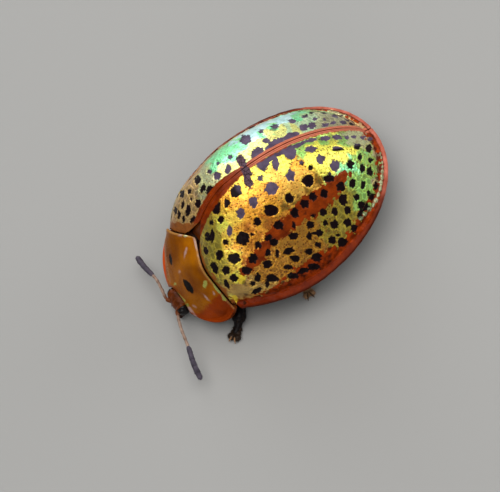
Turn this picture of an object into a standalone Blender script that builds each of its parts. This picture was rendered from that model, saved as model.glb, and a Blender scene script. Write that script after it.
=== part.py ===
"""A tortoise beetle at life size, standing on its six feet with its feelers spread.

The head points along -Y, +X is the beetle's own left and +Z is up. The origin is on the floor under the middle
of the whole beetle, feelers included. Shape formulas work in the body frame, whose y is 0 near the widest part of
the shell and whose z is 0 at the outer edge of the wing cases.
"""

import math

import bmesh
import bpy
from mathutils import Matrix, Vector

MM = 0.001

# The places of the body frame in the world, and the clearance between neighbouring pieces
BODY_BACK = 0.98 * MM
RIM_ABOVE_FLOOR = 2.4 * MM
GAP = 0.25 * MM

# The outline of the wing cases, seen from above
HALF_WIDTH = 6.6 * MM
WIDEST_Y = 0.46 * MM
APEX_Y = 9.05 * MM
SHOULDER_Y = -5.6 * MM
SHOULDER_TAPER = 2.3 * MM
REAR_POWER = 2.04
RIM_WIDTH = 0.55 * MM
RIM_RISE = 0.25 * MM
SHELL_THICKNESS = 0.5 * MM

# The side view of the wing cases along the seam between them
HUMP_Y = -1.0 * MM
HUMP_HEIGHT = 6.6 * MM
FRONT_DROP = 2.6 * MM
CREST_POWER = 2.2
CREST_ROUND = 0.8
SEAM_FRONT_Y = -3.95 * MM
BEAD_HEIGHT = 0.10 * MM
BEAD_WIDTH = 0.30 * MM

# The front edge of the wing cases, which runs forward from the scutellum to the shoulders
BASE_MIDDLE_Y = -4.75 * MM
BASE_SWEEP = 1.0 * MM
BASE_SWEEP_WIDTH = 2.4 * MM
BASE_INNER_X = 0.68 * MM

# The neck shield
SHIELD_HALF_WIDTH = 4.0 * MM
SHIELD_SIDE_Y = -6.3 * MM
SHIELD_LENGTH = 2.35 * MM
SHIELD_POWER = 1.85
SHIELD_HIND_X = 3.95 * MM
SHIELD_HIND_FROM = 3.3 * MM
SHIELD_HIND_TURN = 0.05 * MM
NOTCH_HALF_WIDTH = 1.3 * MM
NOTCH_DEPTH = 0.38 * MM
SHIELD_CREST = 3.75 * MM
SHIELD_FRONT_DROOP = 1.25 * MM
SHIELD_BORDER_RISE = 0.08 * MM
SHIELD_BORDER_FALL = 1.5 * MM
SHIELD_BORDER_BEND = 1.15 * MM
SHIELD_BORDER_INSET = 0.9
SHIELD_THICKNESS = 0.5 * MM

# The head
HEAD_CENTRE = Vector((0, -8.55, -1.22)) * MM
HEAD_RADII = Vector((1.08, 0.75, 0.66)) * MM
EYE_CENTRE = Vector((0.92, -8.74, -1.2)) * MM
EYE_RADII = Vector((0.34, 0.42, 0.52)) * MM

# The underside
VENTER_DEPTH = 0.5 * MM
WAIST_Y = -0.35 * MM
BODY_INSET = SHELL_THICKNESS + GAP + 0.2 * MM

# One leg of each pair, on the beetle's left: coxa, knee and ankle in the body frame with z above the floor,
# and the way the foot points from above
LEGS = {
    "front": ((1.05, -6.55, 1.3), (2.7, -4.95, 1.08), (3.8, -6.2, 0.6), (0.52, -0.85)),
    "middle": ((1.4, -3.6, 1.3), (3.8, -3.05, 1.15), (4.4, -1.2, 0.62), (0.92, -0.22)),
    "hind": ((1.5, -1.0, 1.3), (3.6, 1.2, 1.15), (4.05, 3.05, 0.62), (0.22, 0.97)),
}
# How far the right foot of each pair stands from where a mirror would put it, as in a walking beetle
STRIDE = {"front": (-0.25, 0.4), "middle": (0.1, -0.45), "hind": (0.0, 0.35)}
COXA_RADII = Vector((0.7, 0.55, 0.75)) * MM
FEMUR_RADIUS = 0.42 * MM
KNEE_RADIUS = 0.3 * MM
TIBIA_END_RADIUS = 0.38 * MM
KNEE_CLEARANCE = 0.22 * MM
PAD_HEIGHT = 0.22 * MM
PADS = ((0.58, 0.25, 0.27), (0.89, 0.26, 0.31), (1.20, 0.25, 0.26))

# The routes of the feelers in the body frame: left, then right
FEELER_LEFT = (
    (0.50, -9.26, -1.25),
    (0.95, -9.50, -1.12),
    (1.95, -9.74, -1.08),
    (3.25, -10.02, -1.10),
    (4.60, -10.48, -1.25),
    (5.75, -10.76, -1.48),
)
FEELER_RIGHT = (
    (-0.50, -9.26, -1.25),
    (-0.90, -9.42, -1.12),
    (-1.60, -9.20, -1.10),
    (-2.60, -8.98, -1.15),
    (-3.75, -8.93, -1.25),
    (-4.95, -8.90, -1.45),
)
STEM_RADIUS = 0.25 * MM
CLUB_RADIUS = 0.29 * MM
STEM_SHARE = 0.54
STEM_JOINTS = 6
CLUB_JOINTS = 5

COLOURS = {
    "wing_case": ((0.62, 0.43, 0.06), 0.22, 0.75),
    "shield": ((0.50, 0.19, 0.03), 0.25, 0.15),
    "head": ((0.22, 0.05, 0.02), 0.35, 0.0),
    "eye": ((0.015, 0.012, 0.015), 0.12, 0.0),
    "underside": ((0.05, 0.02, 0.012), 0.4, 0.0),
    "feeler_stem": ((0.36, 0.20, 0.13), 0.45, 0.0),
    "feeler_club": ((0.06, 0.055, 0.07), 0.7, 0.0),
    "leg": ((0.02, 0.014, 0.013), 0.4, 0.0),
    "foot": ((0.25, 0.16, 0.10), 0.6, 0.0),
}


def mix(a, b, t):
    """The value a share t of the way from a to b."""
    return a + (b - a) * t


def smooth(low, high, value):
    """0 below low, 1 above high, and an S-curve between."""
    t = min(max((value - low) / (high - low), 0.0), 1.0)
    return t * t * (3 - 2 * t)


def half_width(y, inset=0.0):
    """Half the width of the wing cases at y, inside their outer edge by inset."""
    wide = HALF_WIDTH - inset
    if y < WIDEST_Y:
        return wide - SHOULDER_TAPER * ((WIDEST_Y - y) / (WIDEST_Y - SHOULDER_Y)) ** 2
    v = min((y - WIDEST_Y) / (APEX_Y - inset - WIDEST_Y), 1.0)
    return wide * (1 - v**REAR_POWER) ** (1 / REAR_POWER)


def crest(y, inset=0.0):
    """Height of the seam above the outer edge at y."""
    top = HUMP_HEIGHT - inset
    if y < HUMP_Y:
        return top - FRONT_DROP * ((HUMP_Y - y) / (HUMP_Y - BASE_MIDDLE_Y)) ** 2
    v = min((y - HUMP_Y) / (APEX_Y - RIM_WIDTH - inset - HUMP_Y), 1.0)
    return RIM_RISE + (top - RIM_RISE) * (1 - v**CREST_POWER) ** CREST_ROUND


def base_y(x):
    """The front edge of the wing cases at x."""
    share = min(abs(x) / BASE_SWEEP_WIDTH, 1.0)
    return BASE_MIDDLE_Y - BASE_SWEEP * math.sin(math.pi / 2 * share) ** 1.3


def section_power(y):
    """How square the wing cases are across: boxy at the shoulders, roof-like at the hump, full behind."""
    front = mix(4.5, 2.35, smooth(-5.8 * MM, -1.5 * MM, y))
    return front + 0.7 * smooth(3 * MM, 8 * MM, y)


def shell_height(x, y, inset=0.0):
    """Height of the domed wing cases over the plan point x, y; inset gives the same dome drawn in."""
    wide = half_width(y, RIM_WIDTH + inset)
    u = min(abs(x) / max(wide, 1e-6), 1.0)
    forward = 0.55 * (BASE_MIDDLE_Y - base_y(x)) * (1 - smooth(-5.5 * MM, -2.5 * MM, y))
    top = crest(y + forward, inset)
    return RIM_RISE + (top - RIM_RISE) * (1 - u ** section_power(y))


def shield_half_width(y):
    """Half the width of the neck shield at y."""
    v = min(max((SHIELD_SIDE_Y - y) / SHIELD_LENGTH, 0.0), 1.0)
    return SHIELD_HALF_WIDTH * (1 - v**SHIELD_POWER) ** (1 / SHIELD_POWER)


def shield_border(y):
    """Height of the neck shield's side edge, which falls away from its hind corners to the front."""
    ahead = max(-6 * MM - y, 0.0) / SHIELD_BORDER_BEND
    return SHIELD_BORDER_RISE - SHIELD_BORDER_FALL * (1 - math.exp(-ahead))


def shield_height(x, y):
    """Height of the neck shield over x, y: a steep disc with a nearly flat border at each side."""
    border = shield_border(y)
    v = min(max((BASE_MIDDLE_Y - 0.25 * MM - y) / (3.55 * MM), 0.0), 1.0)
    top = SHIELD_CREST - (SHIELD_CREST + SHIELD_FRONT_DROOP) * (1 - (1 - v**1.7) ** 0.9)
    u = min(abs(x) / max(SHIELD_BORDER_INSET * shield_half_width(y), 1e-6), 1.0)
    power = mix(2.4, 5.0, smooth(-8 * MM, -6.2 * MM, y))
    return border + max(top - border, 0.0) * (1 - u**power)


def clear_scene():
    for item in list(bpy.data.objects):
        bpy.data.objects.remove(item, do_unlink=True)


def new_collection(name):
    made = bpy.data.collections.new(name)
    bpy.context.scene.collection.children.link(made)
    return made


def paint(item, finish):
    """Gives an object its own Principled material."""
    colour, roughness, metallic = COLOURS[finish]
    material = bpy.data.materials.new(item.name)
    material.use_nodes = True
    shader = material.node_tree.nodes["Principled BSDF"]
    shader.inputs["Base Color"].default_value = (*colour, 1)
    shader.inputs["Roughness"].default_value = roughness
    shader.inputs["Metallic"].default_value = metallic
    item.data.materials.clear()
    item.data.materials.append(material)


def place(item, finish):
    """Puts a body-frame object into the beetle, on the shared empty."""
    paint(item, finish)
    PARTS.objects.link(item)
    item.parent = BEETLE
    return item


def object_from(name, mesh_builder):
    """A loose mesh object made from a bmesh, with outward normals and smooth faces."""
    bmesh.ops.recalc_face_normals(mesh_builder, faces=mesh_builder.faces)
    mesh = bpy.data.meshes.new(name)
    mesh_builder.to_mesh(mesh)
    mesh_builder.free()
    mesh.shade_smooth()
    mesh.set_sharp_from_angle(angle=math.radians(40))
    return bpy.data.objects.new(name, mesh)


def evaluated_copy(item, name):
    """A plain mesh of an object with its modifiers and its transform applied."""
    bpy.context.view_layer.update()
    graph = bpy.context.evaluated_depsgraph_get()
    mesh = bpy.data.meshes.new_from_object(item.evaluated_get(graph))
    mesh.transform(item.matrix_world)
    mesh.name = name
    return mesh


def largest_surface(mesh):
    """Removes every closed surface of a mesh but its largest."""
    builder = bmesh.new()
    builder.from_mesh(mesh)
    left = set(builder.verts)
    groups = []
    while left:
        todo = [left.pop()]
        group = set(todo)
        while todo:
            vertex = todo.pop()
            for edge in vertex.link_edges:
                other = edge.other_vert(vertex)
                if other in left:
                    left.remove(other)
                    group.add(other)
                    todo.append(other)
        groups.append(group)
    groups.sort(key=len)
    for group in groups[:-1]:
        bmesh.ops.delete(builder, geom=list(group), context="VERTS")
    builder.to_mesh(mesh)
    builder.free()


def combine(name, pieces, cutters=()):
    """One object from several closed ones, joined by a Boolean union, less the cutters."""
    joined = bpy.data.collections.new(name + "_pieces")
    bpy.context.scene.collection.children.link(joined)
    base = pieces[0]
    bpy.context.scene.collection.objects.link(base)
    for piece in pieces[1:]:
        joined.objects.link(piece)
    if len(pieces) > 1:
        union = base.modifiers.new("join", "BOOLEAN")
        union.operand_type = "COLLECTION"
        union.collection = joined
        union.operation = "UNION"
        union.solver = "EXACT"
    for cutter in cutters:
        cut = base.modifiers.new("cut", "BOOLEAN")
        cut.object = cutter
        cut.operation = "DIFFERENCE"
        cut.solver = "EXACT"
    mesh = evaluated_copy(base, name)
    largest_surface(mesh)
    for piece in pieces:
        bpy.data.objects.remove(piece, do_unlink=True)
    bpy.data.collections.remove(joined)
    mesh.shade_smooth()
    mesh.set_sharp_from_angle(angle=math.radians(40))
    return bpy.data.objects.new(name, mesh)


def ellipsoid(name, centre, radii, turn=0.0, rings=7, segments=10):
    """A closed ellipsoid, turned about Z."""
    builder = bmesh.new()
    bmesh.ops.create_uvsphere(builder, u_segments=segments, v_segments=rings, radius=1)
    builder.transform(
        Matrix.Translation(centre) @ Matrix.Rotation(turn, 4, "Z") @ Matrix.Diagonal((*radii, 1))
    )
    return object_from(name, builder)


def limb(name, points, radii, sides=8, flatten=1.0):
    """A closed tube through points, with a radius at each; flatten squeezes it up and down."""
    builder = bmesh.new()
    rings = []
    for i, point in enumerate(points):
        ahead = points[min(i + 1, len(points) - 1)] - points[max(i - 1, 0)]
        side = ahead.cross(Vector((0, 0, 1))).normalized()
        up = side.cross(ahead).normalized()
        ring = []
        for k in range(sides):
            angle = 2 * math.pi * (k + 0.5) / sides
            offset = side * math.cos(angle) + up * math.sin(angle) * flatten
            ring.append(builder.verts.new(point + offset * radii[i]))
        rings.append(ring)
    for first, second in zip(rings, rings[1:]):
        for k in range(sides):
            builder.faces.new((first[k], first[k - 1], second[k - 1], second[k]))
    builder.faces.new(rings[0])
    builder.faces.new(rings[-1])
    return object_from(name, builder)


def loft(name, rings):
    """A closed body through rings of the same number of points, with a flat cap at each end."""
    builder = bmesh.new()
    made = [[builder.verts.new(point) for point in ring] for ring in rings]
    count = len(made[0])
    for first, second in zip(made, made[1:]):
        for k in range(count):
            builder.faces.new((first[k], first[k - 1], second[k - 1], second[k]))
    builder.faces.new(made[0])
    builder.faces.new(made[-1])
    return object_from(name, builder)


def sheet(name, rows, thickness):
    """An open grid of points, rows that share a point being drawn together, thickened downward by Solidify."""
    builder = bmesh.new()
    made = [[builder.verts.new(point) for point in row] for row in rows]
    for first, second in zip(made, made[1:]):
        for k in range(len(first) - 1):
            builder.faces.new((first[k], first[k + 1], second[k + 1], second[k]))
    bmesh.ops.remove_doubles(builder, verts=builder.verts, dist=0.001 * MM)
    bmesh.ops.recalc_face_normals(builder, faces=builder.faces)
    if sum(face.normal.z * face.calc_area() for face in builder.faces) < 0:
        bmesh.ops.reverse_faces(builder, faces=builder.faces)
    mesh = bpy.data.meshes.new(name)
    builder.to_mesh(mesh)
    builder.free()
    mesh.shade_smooth()
    mesh.set_sharp_from_angle(angle=math.radians(40))
    item = bpy.data.objects.new(name, mesh)
    shell = item.modifiers.new("thickness", "SOLIDIFY")
    shell.thickness = thickness
    shell.offset = -1
    return item


def thick_sheet(name, rows, thickness, height):
    """A closed plate under a grid of points on a height function, its thickness square to the slope."""
    step = 0.12 * MM
    rings = []
    for row in rows:
        under = []
        for p in row:
            slope_x = (height(p.x + step, p.y) - height(p.x - step, p.y)) / (2 * step)
            slope_y = (height(p.x, p.y + step) - height(p.x, p.y - step)) / (2 * step)
            under.append(p - Vector((-slope_x, -slope_y, 1)).normalized() * thickness)
        rings.append(row + under[::-1])
    return loft(name, rings)


def edge_points(inset, front, count):
    """Points down one side of the wing cases' outline, inside it by inset, from front to the apex."""
    points = []
    split = round(count * 0.42)
    for i in range(count + 1):
        if i < split:
            y = mix(front, WIDEST_Y, (i / split) ** 0.9)
            points.append((half_width(y, inset), y))
            continue
        angle = math.pi / 2 * (i - split) / (count - split)
        reach = APEX_Y - inset - WIDEST_Y
        x = (HALF_WIDTH - inset) * math.cos(angle) ** (2 / REAR_POWER) if i < count else 0.0
        points.append((max(x, GAP / 2), WIDEST_Y + reach * math.sin(angle) ** (2 / REAR_POWER)))
    return points


def wing_case_rows(rows=26):
    """The upper surface of the left wing case, as rows from the seam out to the edge."""
    inner_edge = edge_points(RIM_WIDTH, base_y(3.5 * MM), rows)
    outer_edge = edge_points(0.0, SHOULDER_Y, rows)
    corner = (BASE_INNER_X, base_y(BASE_INNER_X))
    seam = [corner, (mix(GAP / 2, BASE_INNER_X, 0.5), mix(corner[1], SEAM_FRONT_Y, 0.5))]
    for i in range(2, rows + 1):
        y = mix(SEAM_FRONT_Y, APEX_Y - RIM_WIDTH, (i - 2) / (rows - 2))
        seam.append((GAP / 2, y))
    across = (0, 0.04, 0.09, 0.17, 0.27, 0.38, 0.49, 0.60, 0.70, 0.79, 0.87, 0.94, 1.0)
    surface = []
    for i in range(rows + 1):
        start = seam[i]
        end = inner_edge[i]
        lead = max(1 - i / 6, 0.0) ** 2
        row = []
        for t in across:
            x = mix(start[0], end[0], t)
            y = mix(start[1], end[1], t)
            chord = mix(corner[1], inner_edge[0][1], t)
            y += lead * (base_y(mix(corner[0], inner_edge[0][0], t)) - chord)
            bead = BEAD_HEIGHT * math.exp(-((x / BEAD_WIDTH) ** 2))
            row.append(Vector((x, y, shell_height(x, y) + bead)))
        out = outer_edge[i]
        for t, rise in ((0.3, 0.72), (0.85, 0.25), (1.0, 0.0)):
            row.append(Vector((mix(end[0], out[0], t), mix(end[1], out[1], t), RIM_RISE * rise)))
        surface.append(row)
    return surface


def build_wing_cases():
    """The two wing cases, mirror images that meet along the seam with a clearance."""
    rows = wing_case_rows()
    place(sheet("elytron_left", rows, SHELL_THICKNESS), "wing_case")
    mirrored = [[Vector((-p.x, p.y, p.z)) for p in row] for row in rows]
    place(sheet("elytron_right", mirrored, SHELL_THICKNESS), "wing_case")


def shield_edges(count=15):
    """Matching points along the front and hind edges of one half of the neck shield."""
    pairs = []
    for i in range(count + 1):
        angle = math.pi / 2 * i / count
        x = SHIELD_HALF_WIDTH * math.sin(angle) ** (2 / SHIELD_POWER)
        y = SHIELD_SIDE_Y - SHIELD_LENGTH * max(math.cos(angle), 0.0) ** (2 / SHIELD_POWER)
        if x < NOTCH_HALF_WIDTH:
            y += NOTCH_DEPTH * (1 - (x / NOTCH_HALF_WIDTH) ** 2)
        back_x = SHIELD_HIND_X * i / count
        turn = SHIELD_HIND_TURN * smooth(SHIELD_HIND_FROM, SHIELD_HIND_X, back_x)
        pairs.append(((x, y), (back_x, base_y(back_x) - GAP - 0.05 * MM + turn)))
    return pairs


def build_shield():
    """The neck shield: a wide, steep, crescent-shaped plate with a notch over the head."""
    half = shield_edges()
    columns = [((-f[0], f[1]), (-b[0], b[1])) for f, b in reversed(half[1:])] + half
    rows = []
    for front, back in columns:
        row = []
        for t in (0, 0.07, 0.16, 0.27, 0.39, 0.52, 0.65, 0.78, 0.9, 1.0):
            x = mix(front[0], back[0], t)
            y = mix(front[1], back[1], t)
            row.append(Vector((x, y, shield_height(x, y))))
        rows.append(row)
    place(thick_sheet("pronotum", rows, SHIELD_THICKNESS, shield_height), "shield")


def build_scutellum():
    """The small three-cornered plate between the bases of the wing cases."""
    front = BASE_MIDDLE_Y
    tip = SEAM_FRONT_Y - 0.1 * MM
    half = BASE_INNER_X - GAP
    builder = bmesh.new()
    corners = []
    for x, y in ((-half, front), (half, front), (0.05 * MM, tip), (-0.05 * MM, tip)):
        corners.append((x, y, crest(y) + 0.02 * MM))
    top = [builder.verts.new(c) for c in corners]
    low = [builder.verts.new((c[0], c[1], c[2] - 0.6 * MM)) for c in corners]
    builder.faces.new(top)
    builder.faces.new(low[::-1])
    for k in range(4):
        builder.faces.new((top[k - 1], low[k - 1], low[k], top[k]))
    place(object_from("scutellum", builder), "shield")


def body_ring(y, half, height, depth, steps=9):
    """A ring across the body at y: a domed back and a gently rounded underside."""
    ring = []
    for i in range(steps + 1):
        x = half * math.cos(math.pi * i / steps)
        ring.append(Vector((x, y, max(height(x, y), 0.05 * MM))))
    for i in range(1, steps):
        x = -half * math.cos(math.pi * i / steps)
        ring.append(Vector((x, y, -depth * (1 - (abs(x) / half) ** 2.5))))
    return ring


def inner_height(x, y):
    """The dome inside the wing cases, which the back of the body fills."""
    return shell_height(x, y, BODY_INSET) - 0.15 * MM


def build_trunk():
    """The hind thorax with the coxae of four legs, and the abdomen with its belly plates."""
    front = BASE_MIDDLE_Y - 0.05 * MM
    rings = []
    for i in range(8):
        y = mix(front, WAIST_Y - GAP / 2, i / 7)
        half = half_width(y, RIM_WIDTH + BODY_INSET + 0.1 * MM)
        rings.append(body_ring(y, half, inner_height, VENTER_DEPTH))
    pieces = [loft("thorax", rings)]
    for pair in ("middle", "hind"):
        for sign in (1, -1):
            x, y, z = LEGS[pair][0]
            centre = Vector((sign * x, y, z)) * MM - Vector((0, 0, RIM_ABOVE_FLOOR))
            pieces.append(ellipsoid("coxa", centre, COXA_RADII))
    place(combine("thorax", pieces), "underside")

    plates = 5
    rings = []
    start = WAIST_Y + GAP / 2
    end = APEX_Y - RIM_WIDTH - BODY_INSET - 0.2 * MM
    for i in range(plates):
        low = mix(start, end, (i / plates) ** 0.9)
        high = mix(start, end, ((i + 1) / plates) ** 0.9)
        for share, depth in ((0.0, 0.75), (0.12, 0.95), (0.55, 1.0), (0.94, 1.0)):
            y = mix(low, high, share)
            half = half_width(y, RIM_WIDTH + BODY_INSET + 0.1 * MM)
            rings.append(body_ring(y, half, inner_height, VENTER_DEPTH * depth))
    half = half_width(end, RIM_WIDTH + BODY_INSET + 0.1 * MM)
    rings.append(body_ring(end, half, inner_height, VENTER_DEPTH * 0.6))
    place(loft("abdomen", rings), "underside")


def under_shield(x, y):
    """The level that the neck may reach below the shield, clear of its thickness on the slopes."""
    lowest = min(shield_height(x * 1.12, y - 0.45 * MM), shield_height(x * 1.05, y))
    return lowest - SHIELD_THICKNESS * 1.4 - GAP - 0.25 * MM


def build_prosternum():
    """The underside of the neck, below the shield, with the coxae of the front legs."""
    back = BASE_MIDDLE_Y - 0.05 * MM - GAP
    front = HEAD_CENTRE.y + HEAD_RADII.y + GAP
    steps = 8
    rings = []
    for i in range(7):
        y = mix(back, front, i / 6)
        half = 3.1 * MM
        while under_shield(half, y) < -0.3 * MM and half > 0.8 * MM:
            half -= 0.05 * MM
        ring = []
        for k in range(steps + 1):
            x = half * math.cos(math.pi * k / steps)
            ring.append(Vector((x, y, max(under_shield(x, y), -0.32 * MM))))
        for k in range(1, steps):
            x = -half * math.cos(math.pi * k / steps)
            keel = math.exp(-((x / (0.8 * MM)) ** 2))
            ring.append(Vector((x, y, -0.45 * MM - 0.5 * MM * keel)))
        rings.append(ring)
    pieces = [loft("prosternum", rings)]
    for sign in (1, -1):
        x, y, z = LEGS["front"][0]
        centre = Vector((sign * x, y, z)) * MM - Vector((0, 0, RIM_ABOVE_FLOOR))
        pieces.append(ellipsoid("coxa", centre, COXA_RADII))
    place(combine("prosternum", pieces), "underside")


def build_head():
    """The head with a socket for each eye, the eyes, and the jaws and feelers of the mouth."""
    sockets = []
    for sign in (1, -1):
        centre = Vector((sign * EYE_CENTRE.x, EYE_CENTRE.y, EYE_CENTRE.z))
        radii = [r + GAP for r in EYE_RADII]
        socket = ellipsoid("socket", centre, radii, rings=8, segments=14)
        socket.hide_render = True
        socket.display_type = "WIRE"
        CUTTERS.objects.link(socket)
        sockets.append(socket)
    skull = ellipsoid("skull", HEAD_CENTRE, HEAD_RADII, rings=12, segments=20)
    face = ellipsoid(
        "face", HEAD_CENTRE + Vector((0, -0.34, -0.18)) * MM, Vector((0.55, 0.5, 0.42)) * MM, rings=8, segments=12
    )
    place(combine("head", [skull, face], sockets), "head")
    for side, sign in (("left", 1), ("right", -1)):
        centre = Vector((sign * EYE_CENTRE.x, EYE_CENTRE.y, EYE_CENTRE.z))
        place(ellipsoid("eye_" + side, centre, EYE_RADII, rings=10, segments=14), "eye")


def build_mouthparts():
    """The jaws and the two short palps below the face."""
    lip = ellipsoid("lip", Vector((0, -8.95, -2.13)) * MM, Vector((0.5, 0.26, 0.16)) * MM)
    pieces = [lip]
    for sign in (1, -1):
        route = [(0.38, -8.82, -2.13), (0.52, -9.0, -2.14), (0.56, -9.2, -2.12), (0.5, -9.36, -2.10)]
        points = [Vector((sign * x, y, z)) * MM for x, y, z in route]
        pieces.append(limb("palp", points, [0.12 * MM, 0.16 * MM, 0.16 * MM, 0.09 * MM], sides=6))
    place(combine("mouthparts", pieces), "head")


def feeler_path(route, count):
    """Points spread evenly along a smooth curve through the route."""
    knots = [Vector(p) * MM for p in route]
    dense = []
    for i in range(len(knots) - 1):
        before = knots[max(i - 1, 0)]
        after = knots[min(i + 2, len(knots) - 1)]
        for k in range(20):
            t = k / 20
            a = 2 * knots[i]
            b = knots[i + 1] - before
            c = 2 * before - 5 * knots[i] + 4 * knots[i + 1] - after
            d = 3 * knots[i] - before - 3 * knots[i + 1] + after
            dense.append((a + b * t + c * t**2 + d * t**3) / 2)
    dense.append(knots[-1])
    lengths = [0.0]
    for first, second in zip(dense, dense[1:]):
        lengths.append(lengths[-1] + (second - first).length)
    points = []
    for i in range(count):
        wanted = lengths[-1] * i / (count - 1)
        k = next(j for j in range(1, len(lengths)) if lengths[j] >= wanted - 1e-12)
        share = (wanted - lengths[k - 1]) / (lengths[k] - lengths[k - 1])
        points.append(dense[k - 1].lerp(dense[k], share))
    return points, lengths[-1]


def jointed(name, points, joints, start_radius, end_radius, tip, sides=8):
    """A feeler piece of several joints, each swelling between two narrow waists."""
    shares = ((0.0, 0.8), (0.25, 0.96), (0.8, 1.0))
    path = []
    radii = []
    for j in range(joints):
        for share, swell in shares:
            along = (j + share) / joints
            place_on = along * (len(points) - 1)
            k = min(int(place_on), len(points) - 2)
            path.append(points[k].lerp(points[k + 1], place_on - k))
            radii.append(mix(start_radius, end_radius, along) * swell)
    path.append(points[-1])
    radii.append(tip)
    return limb(name, path, radii, sides)


def build_feelers():
    """Each feeler in two pieces: a slender stem and a thicker, downy club."""
    for side, route in (("left", FEELER_LEFT), ("right", FEELER_RIGHT)):
        count = 61
        points, length = feeler_path(route, count)
        cut = round((count - 1) * STEM_SHARE)
        skip = max(1, round(GAP / length * (count - 1)))
        stem = points[: cut + 1]
        club = points[cut + skip :]
        stem_piece = jointed(
            "stem", stem, STEM_JOINTS, STEM_RADIUS * 1.05, STEM_RADIUS, STEM_RADIUS * 0.8
        )
        stem_piece.name = "antenna_%s_stem" % side
        place(stem_piece, "feeler_stem")
        club_piece = jointed(
            "club", club, CLUB_JOINTS, CLUB_RADIUS * 0.92, CLUB_RADIUS, CLUB_RADIUS * 0.35
        )
        club_piece.name = "antenna_%s_club" % side
        place(club_piece, "feeler_club")


def foot_pieces(ankle, way):
    """The pads and the claws of one foot, along the direction way from above."""
    ahead = Vector((way[0], way[1], 0)).normalized()
    side = Vector((-ahead.y, ahead.x, 0))
    turn = math.atan2(ahead.y, ahead.x)
    floor = -RIM_ABOVE_FLOOR
    pieces = []
    for i, (reach, length, width) in enumerate(PADS):
        centre = Vector((ankle.x, ankle.y, floor + 0.18 * MM)) + ahead * reach * MM
        lobes = (0,) if i < 2 else (1, -1)
        for lobe in lobes:
            at = centre + side * lobe * 0.2 * MM
            radii = (length * MM, width * MM * (1 if i < 2 else 0.85), PAD_HEIGHT)
            pieces.append(ellipsoid("pad", at, radii, turn + lobe * 0.25, rings=6, segments=10))
    root = Vector((ankle.x, ankle.y, floor + 0.25 * MM)) + ahead * 1.05 * MM
    for sign in (1, -1):
        route = []
        for reach, spread, rise in ((0.0, 0.09, 0.0), (0.32, 0.13, 0.08), (0.47, 0.2, 0.04), (0.6, 0.27, -0.08)):
            route.append(root + (ahead * reach + side * sign * spread + Vector((0, 0, rise))) * MM)
        radii = [0.10 * MM, 0.11 * MM, 0.09 * MM, 0.05 * MM]
        pieces.append(limb("claw", route, radii, sides=6))
    return pieces


def build_leg(pair, side):
    """The thigh, the shin and the foot of one leg."""
    sign = 1 if side == "left" else -1
    coxa, knee, ankle, way = LEGS[pair]
    shift = STRIDE[pair] if side == "right" else (0, 0)

    def at(point, share):
        x = sign * (point[0] + shift[0] * share)
        return Vector((x, point[1] + shift[1] * share, point[2])) * MM - Vector((0, 0, RIM_ABOVE_FLOOR))

    hip = at(coxa, 0)
    bend = at(knee, 0.5)
    end = at(ankle, 1.0)
    name = "%s_%s_" % (pair, side)

    ahead = (bend - hip).normalized()
    reach = 1 / math.sqrt(sum((a / r) ** 2 for a, r in zip(ahead, COXA_RADII)))
    start = hip + ahead * (reach + GAP)
    stop = bend - ahead * KNEE_CLEARANCE
    shares = (0.0, 0.08, 0.3, 0.6, 0.88, 1.0)
    swell = (0.65, 0.88, 1.0, 1.0, 0.85, 0.62)
    points = [start.lerp(stop, s) for s in shares]
    place(limb(name + "femur", points, [FEMUR_RADIUS * s for s in swell]), "leg")

    ahead = (end - bend).normalized()
    start = bend + ahead * KNEE_CLEARANCE
    points = [start.lerp(end, s) for s in (0.0, 0.12, 0.55, 0.92, 1.0)]
    radii = [KNEE_RADIUS * 0.85, KNEE_RADIUS, mix(KNEE_RADIUS, TIBIA_END_RADIUS, 0.5)]
    radii += [TIBIA_END_RADIUS, TIBIA_END_RADIUS * 0.7]
    place(limb(name + "tibia", points, radii), "leg")

    pieces = foot_pieces(end, (sign * way[0], way[1]))
    place(combine(name + "tarsus", pieces, [FLOOR_CUTTER]), "foot")


def build_floor_cutter():
    """A block under the floor plane, which flattens the soles."""
    builder = bmesh.new()
    bmesh.ops.create_cube(builder, size=1)
    deep = 2 * MM
    builder.transform(
        Matrix.Translation((0, 0, -RIM_ABOVE_FLOOR - deep / 2)) @ Matrix.Diagonal((30 * MM, 40 * MM, deep, 1))
    )
    block = object_from("floor_cutter", builder)
    block.hide_render = True
    block.display_type = "WIRE"
    CUTTERS.objects.link(block)
    return block


clear_scene()
PARTS = new_collection("tortoise_beetle")
CUTTERS = new_collection("cutters")
BEETLE = bpy.data.objects.new("beetle", None)
BEETLE.location = (0, BODY_BACK, RIM_ABOVE_FLOOR)
PARTS.objects.link(BEETLE)
FLOOR_CUTTER = build_floor_cutter()
build_wing_cases()
build_shield()
build_scutellum()
build_trunk()
build_prosternum()
build_head()
build_mouthparts()
build_feelers()
for leg_pair in LEGS:
    for leg_side in ("left", "right"):
        build_leg(leg_pair, leg_side)
bpy.context.view_layer.update()
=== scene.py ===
# %% [markdown]
# # A tortoise beetle, dressed for the camera
# The solids of this beetle come from CAD, packed as a fixed frame. They have the right size and the right
# main shapes, but they are plain. This lesson puts the finished beetle over them: wing cases plated in gold
# and green, a glossy amber neck shield, a head with its eyes and mouth, jointed feelers and hairy feet.
#
# Every length is in metres, as in the frame. The head points along -Y, +X is the beetle's own left, and +Z
# is up.

# %% The frame
import math
import bmesh
import bpy
import numpy as np
from mathutils import Matrix, Vector, noise
from mathutils.bvhtree import BVHTree
from mathutils.kdtree import KDTree


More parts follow.
